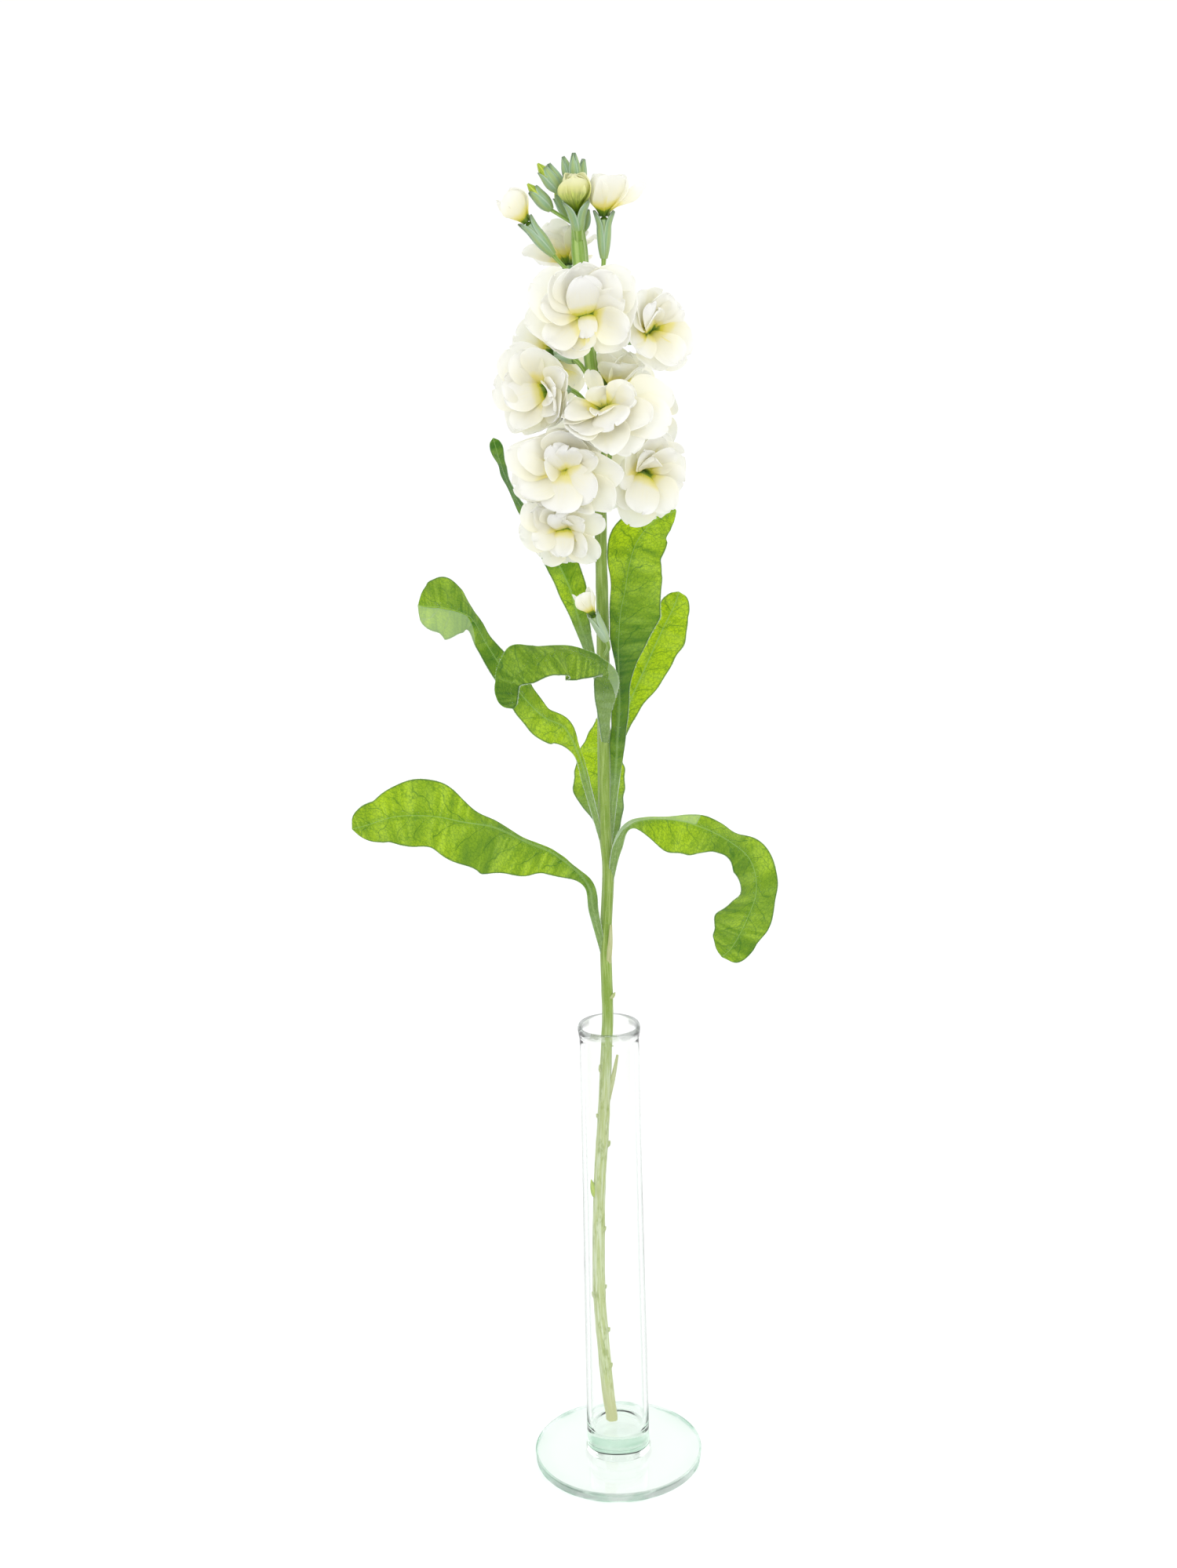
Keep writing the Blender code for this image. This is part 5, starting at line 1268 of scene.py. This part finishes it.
def make_world():
    """A white sheet behind, a soft light above and in front, and a dimmer room to both sides."""
    tree = Tree(bpy.data.worlds.new("studio"), "ShaderNodeOutputWorld")
    bpy.context.scene.world = tree.owner
    x, y, z = tree.split(tree.node("TexCoord").outputs["Generated"])
    front = tree.fade(y, -0.55, -0.10, FRONT_LIGHT, ROOM_LIGHT)
    above = tree.fade(z, 0.30, 0.65, 0.0, FRONT_LIGHT)
    aside = tree.math("DIVIDE", tree.math("ABSOLUTE", x), tree.math("MAXIMUM", y, 0.02))
    sheet = tree.times(tree.fade(aside, 0.38, 0.58, BACK_LIGHT, 0.0), tree.fade(y, 0.0, 0.2))
    light = tree.math("MAXIMUM", tree.math("MAXIMUM", front, above), sheet)
    tree.show(tree.node("Background", {"Color": (1.0, 1.0, 1.0, 1.0), "Strength": light}))


def make_lamps():
    """All lamps of the studio."""
    for name, (place, aim, size, power) in LAMPS.items():
        lamp = bpy.data.lights.new(name, "AREA")
        lamp.size = size
        lamp.energy = power
        holder = place_in_scene(name, lamp)
        holder.location = place
        holder.rotation_euler = (Vector(aim) - Vector(place)).to_track_quat("-Z", "Y").to_euler()


def make_camera():
    """The camera of the photograph, and colours shown as they are."""
    camera = bpy.data.cameras.new("camera")
    camera.lens = CAMERA_LENS
    camera.sensor_width = CAMERA_FILM
    camera.clip_start = 0.01
    holder = place_in_scene("camera", camera)
    holder.matrix_world = (Matrix.Translation(CAMERA_PLACE)
                           @ Matrix.Rotation(math.radians(90.0 - CAMERA_DOWN), 4, "X")
                           @ Matrix.Rotation(math.radians(CAMERA_ROLL), 4, "Z"))
    bpy.context.scene.camera = holder
    view = bpy.context.scene.view_settings
    view.view_transform = "Standard"
    view.exposure = 0.0


def dress():
    """Replace every solid with its finished piece and light the scene."""
    make_vase(glass_material())
    make_stem(stem_material())
    leaf = leaf_material()
    for name in LEAVES:
        make_leaf(name, leaf)
    cream = petal_material("petal_cream")
    young = petal_material("petal_young", 0.9)
    for name in BLOOMS:
        make_bloom(name, young if name == "opening_bud_top" else cream)
    make_floor()
    make_world()
    make_lamps()
    make_camera()


dress()
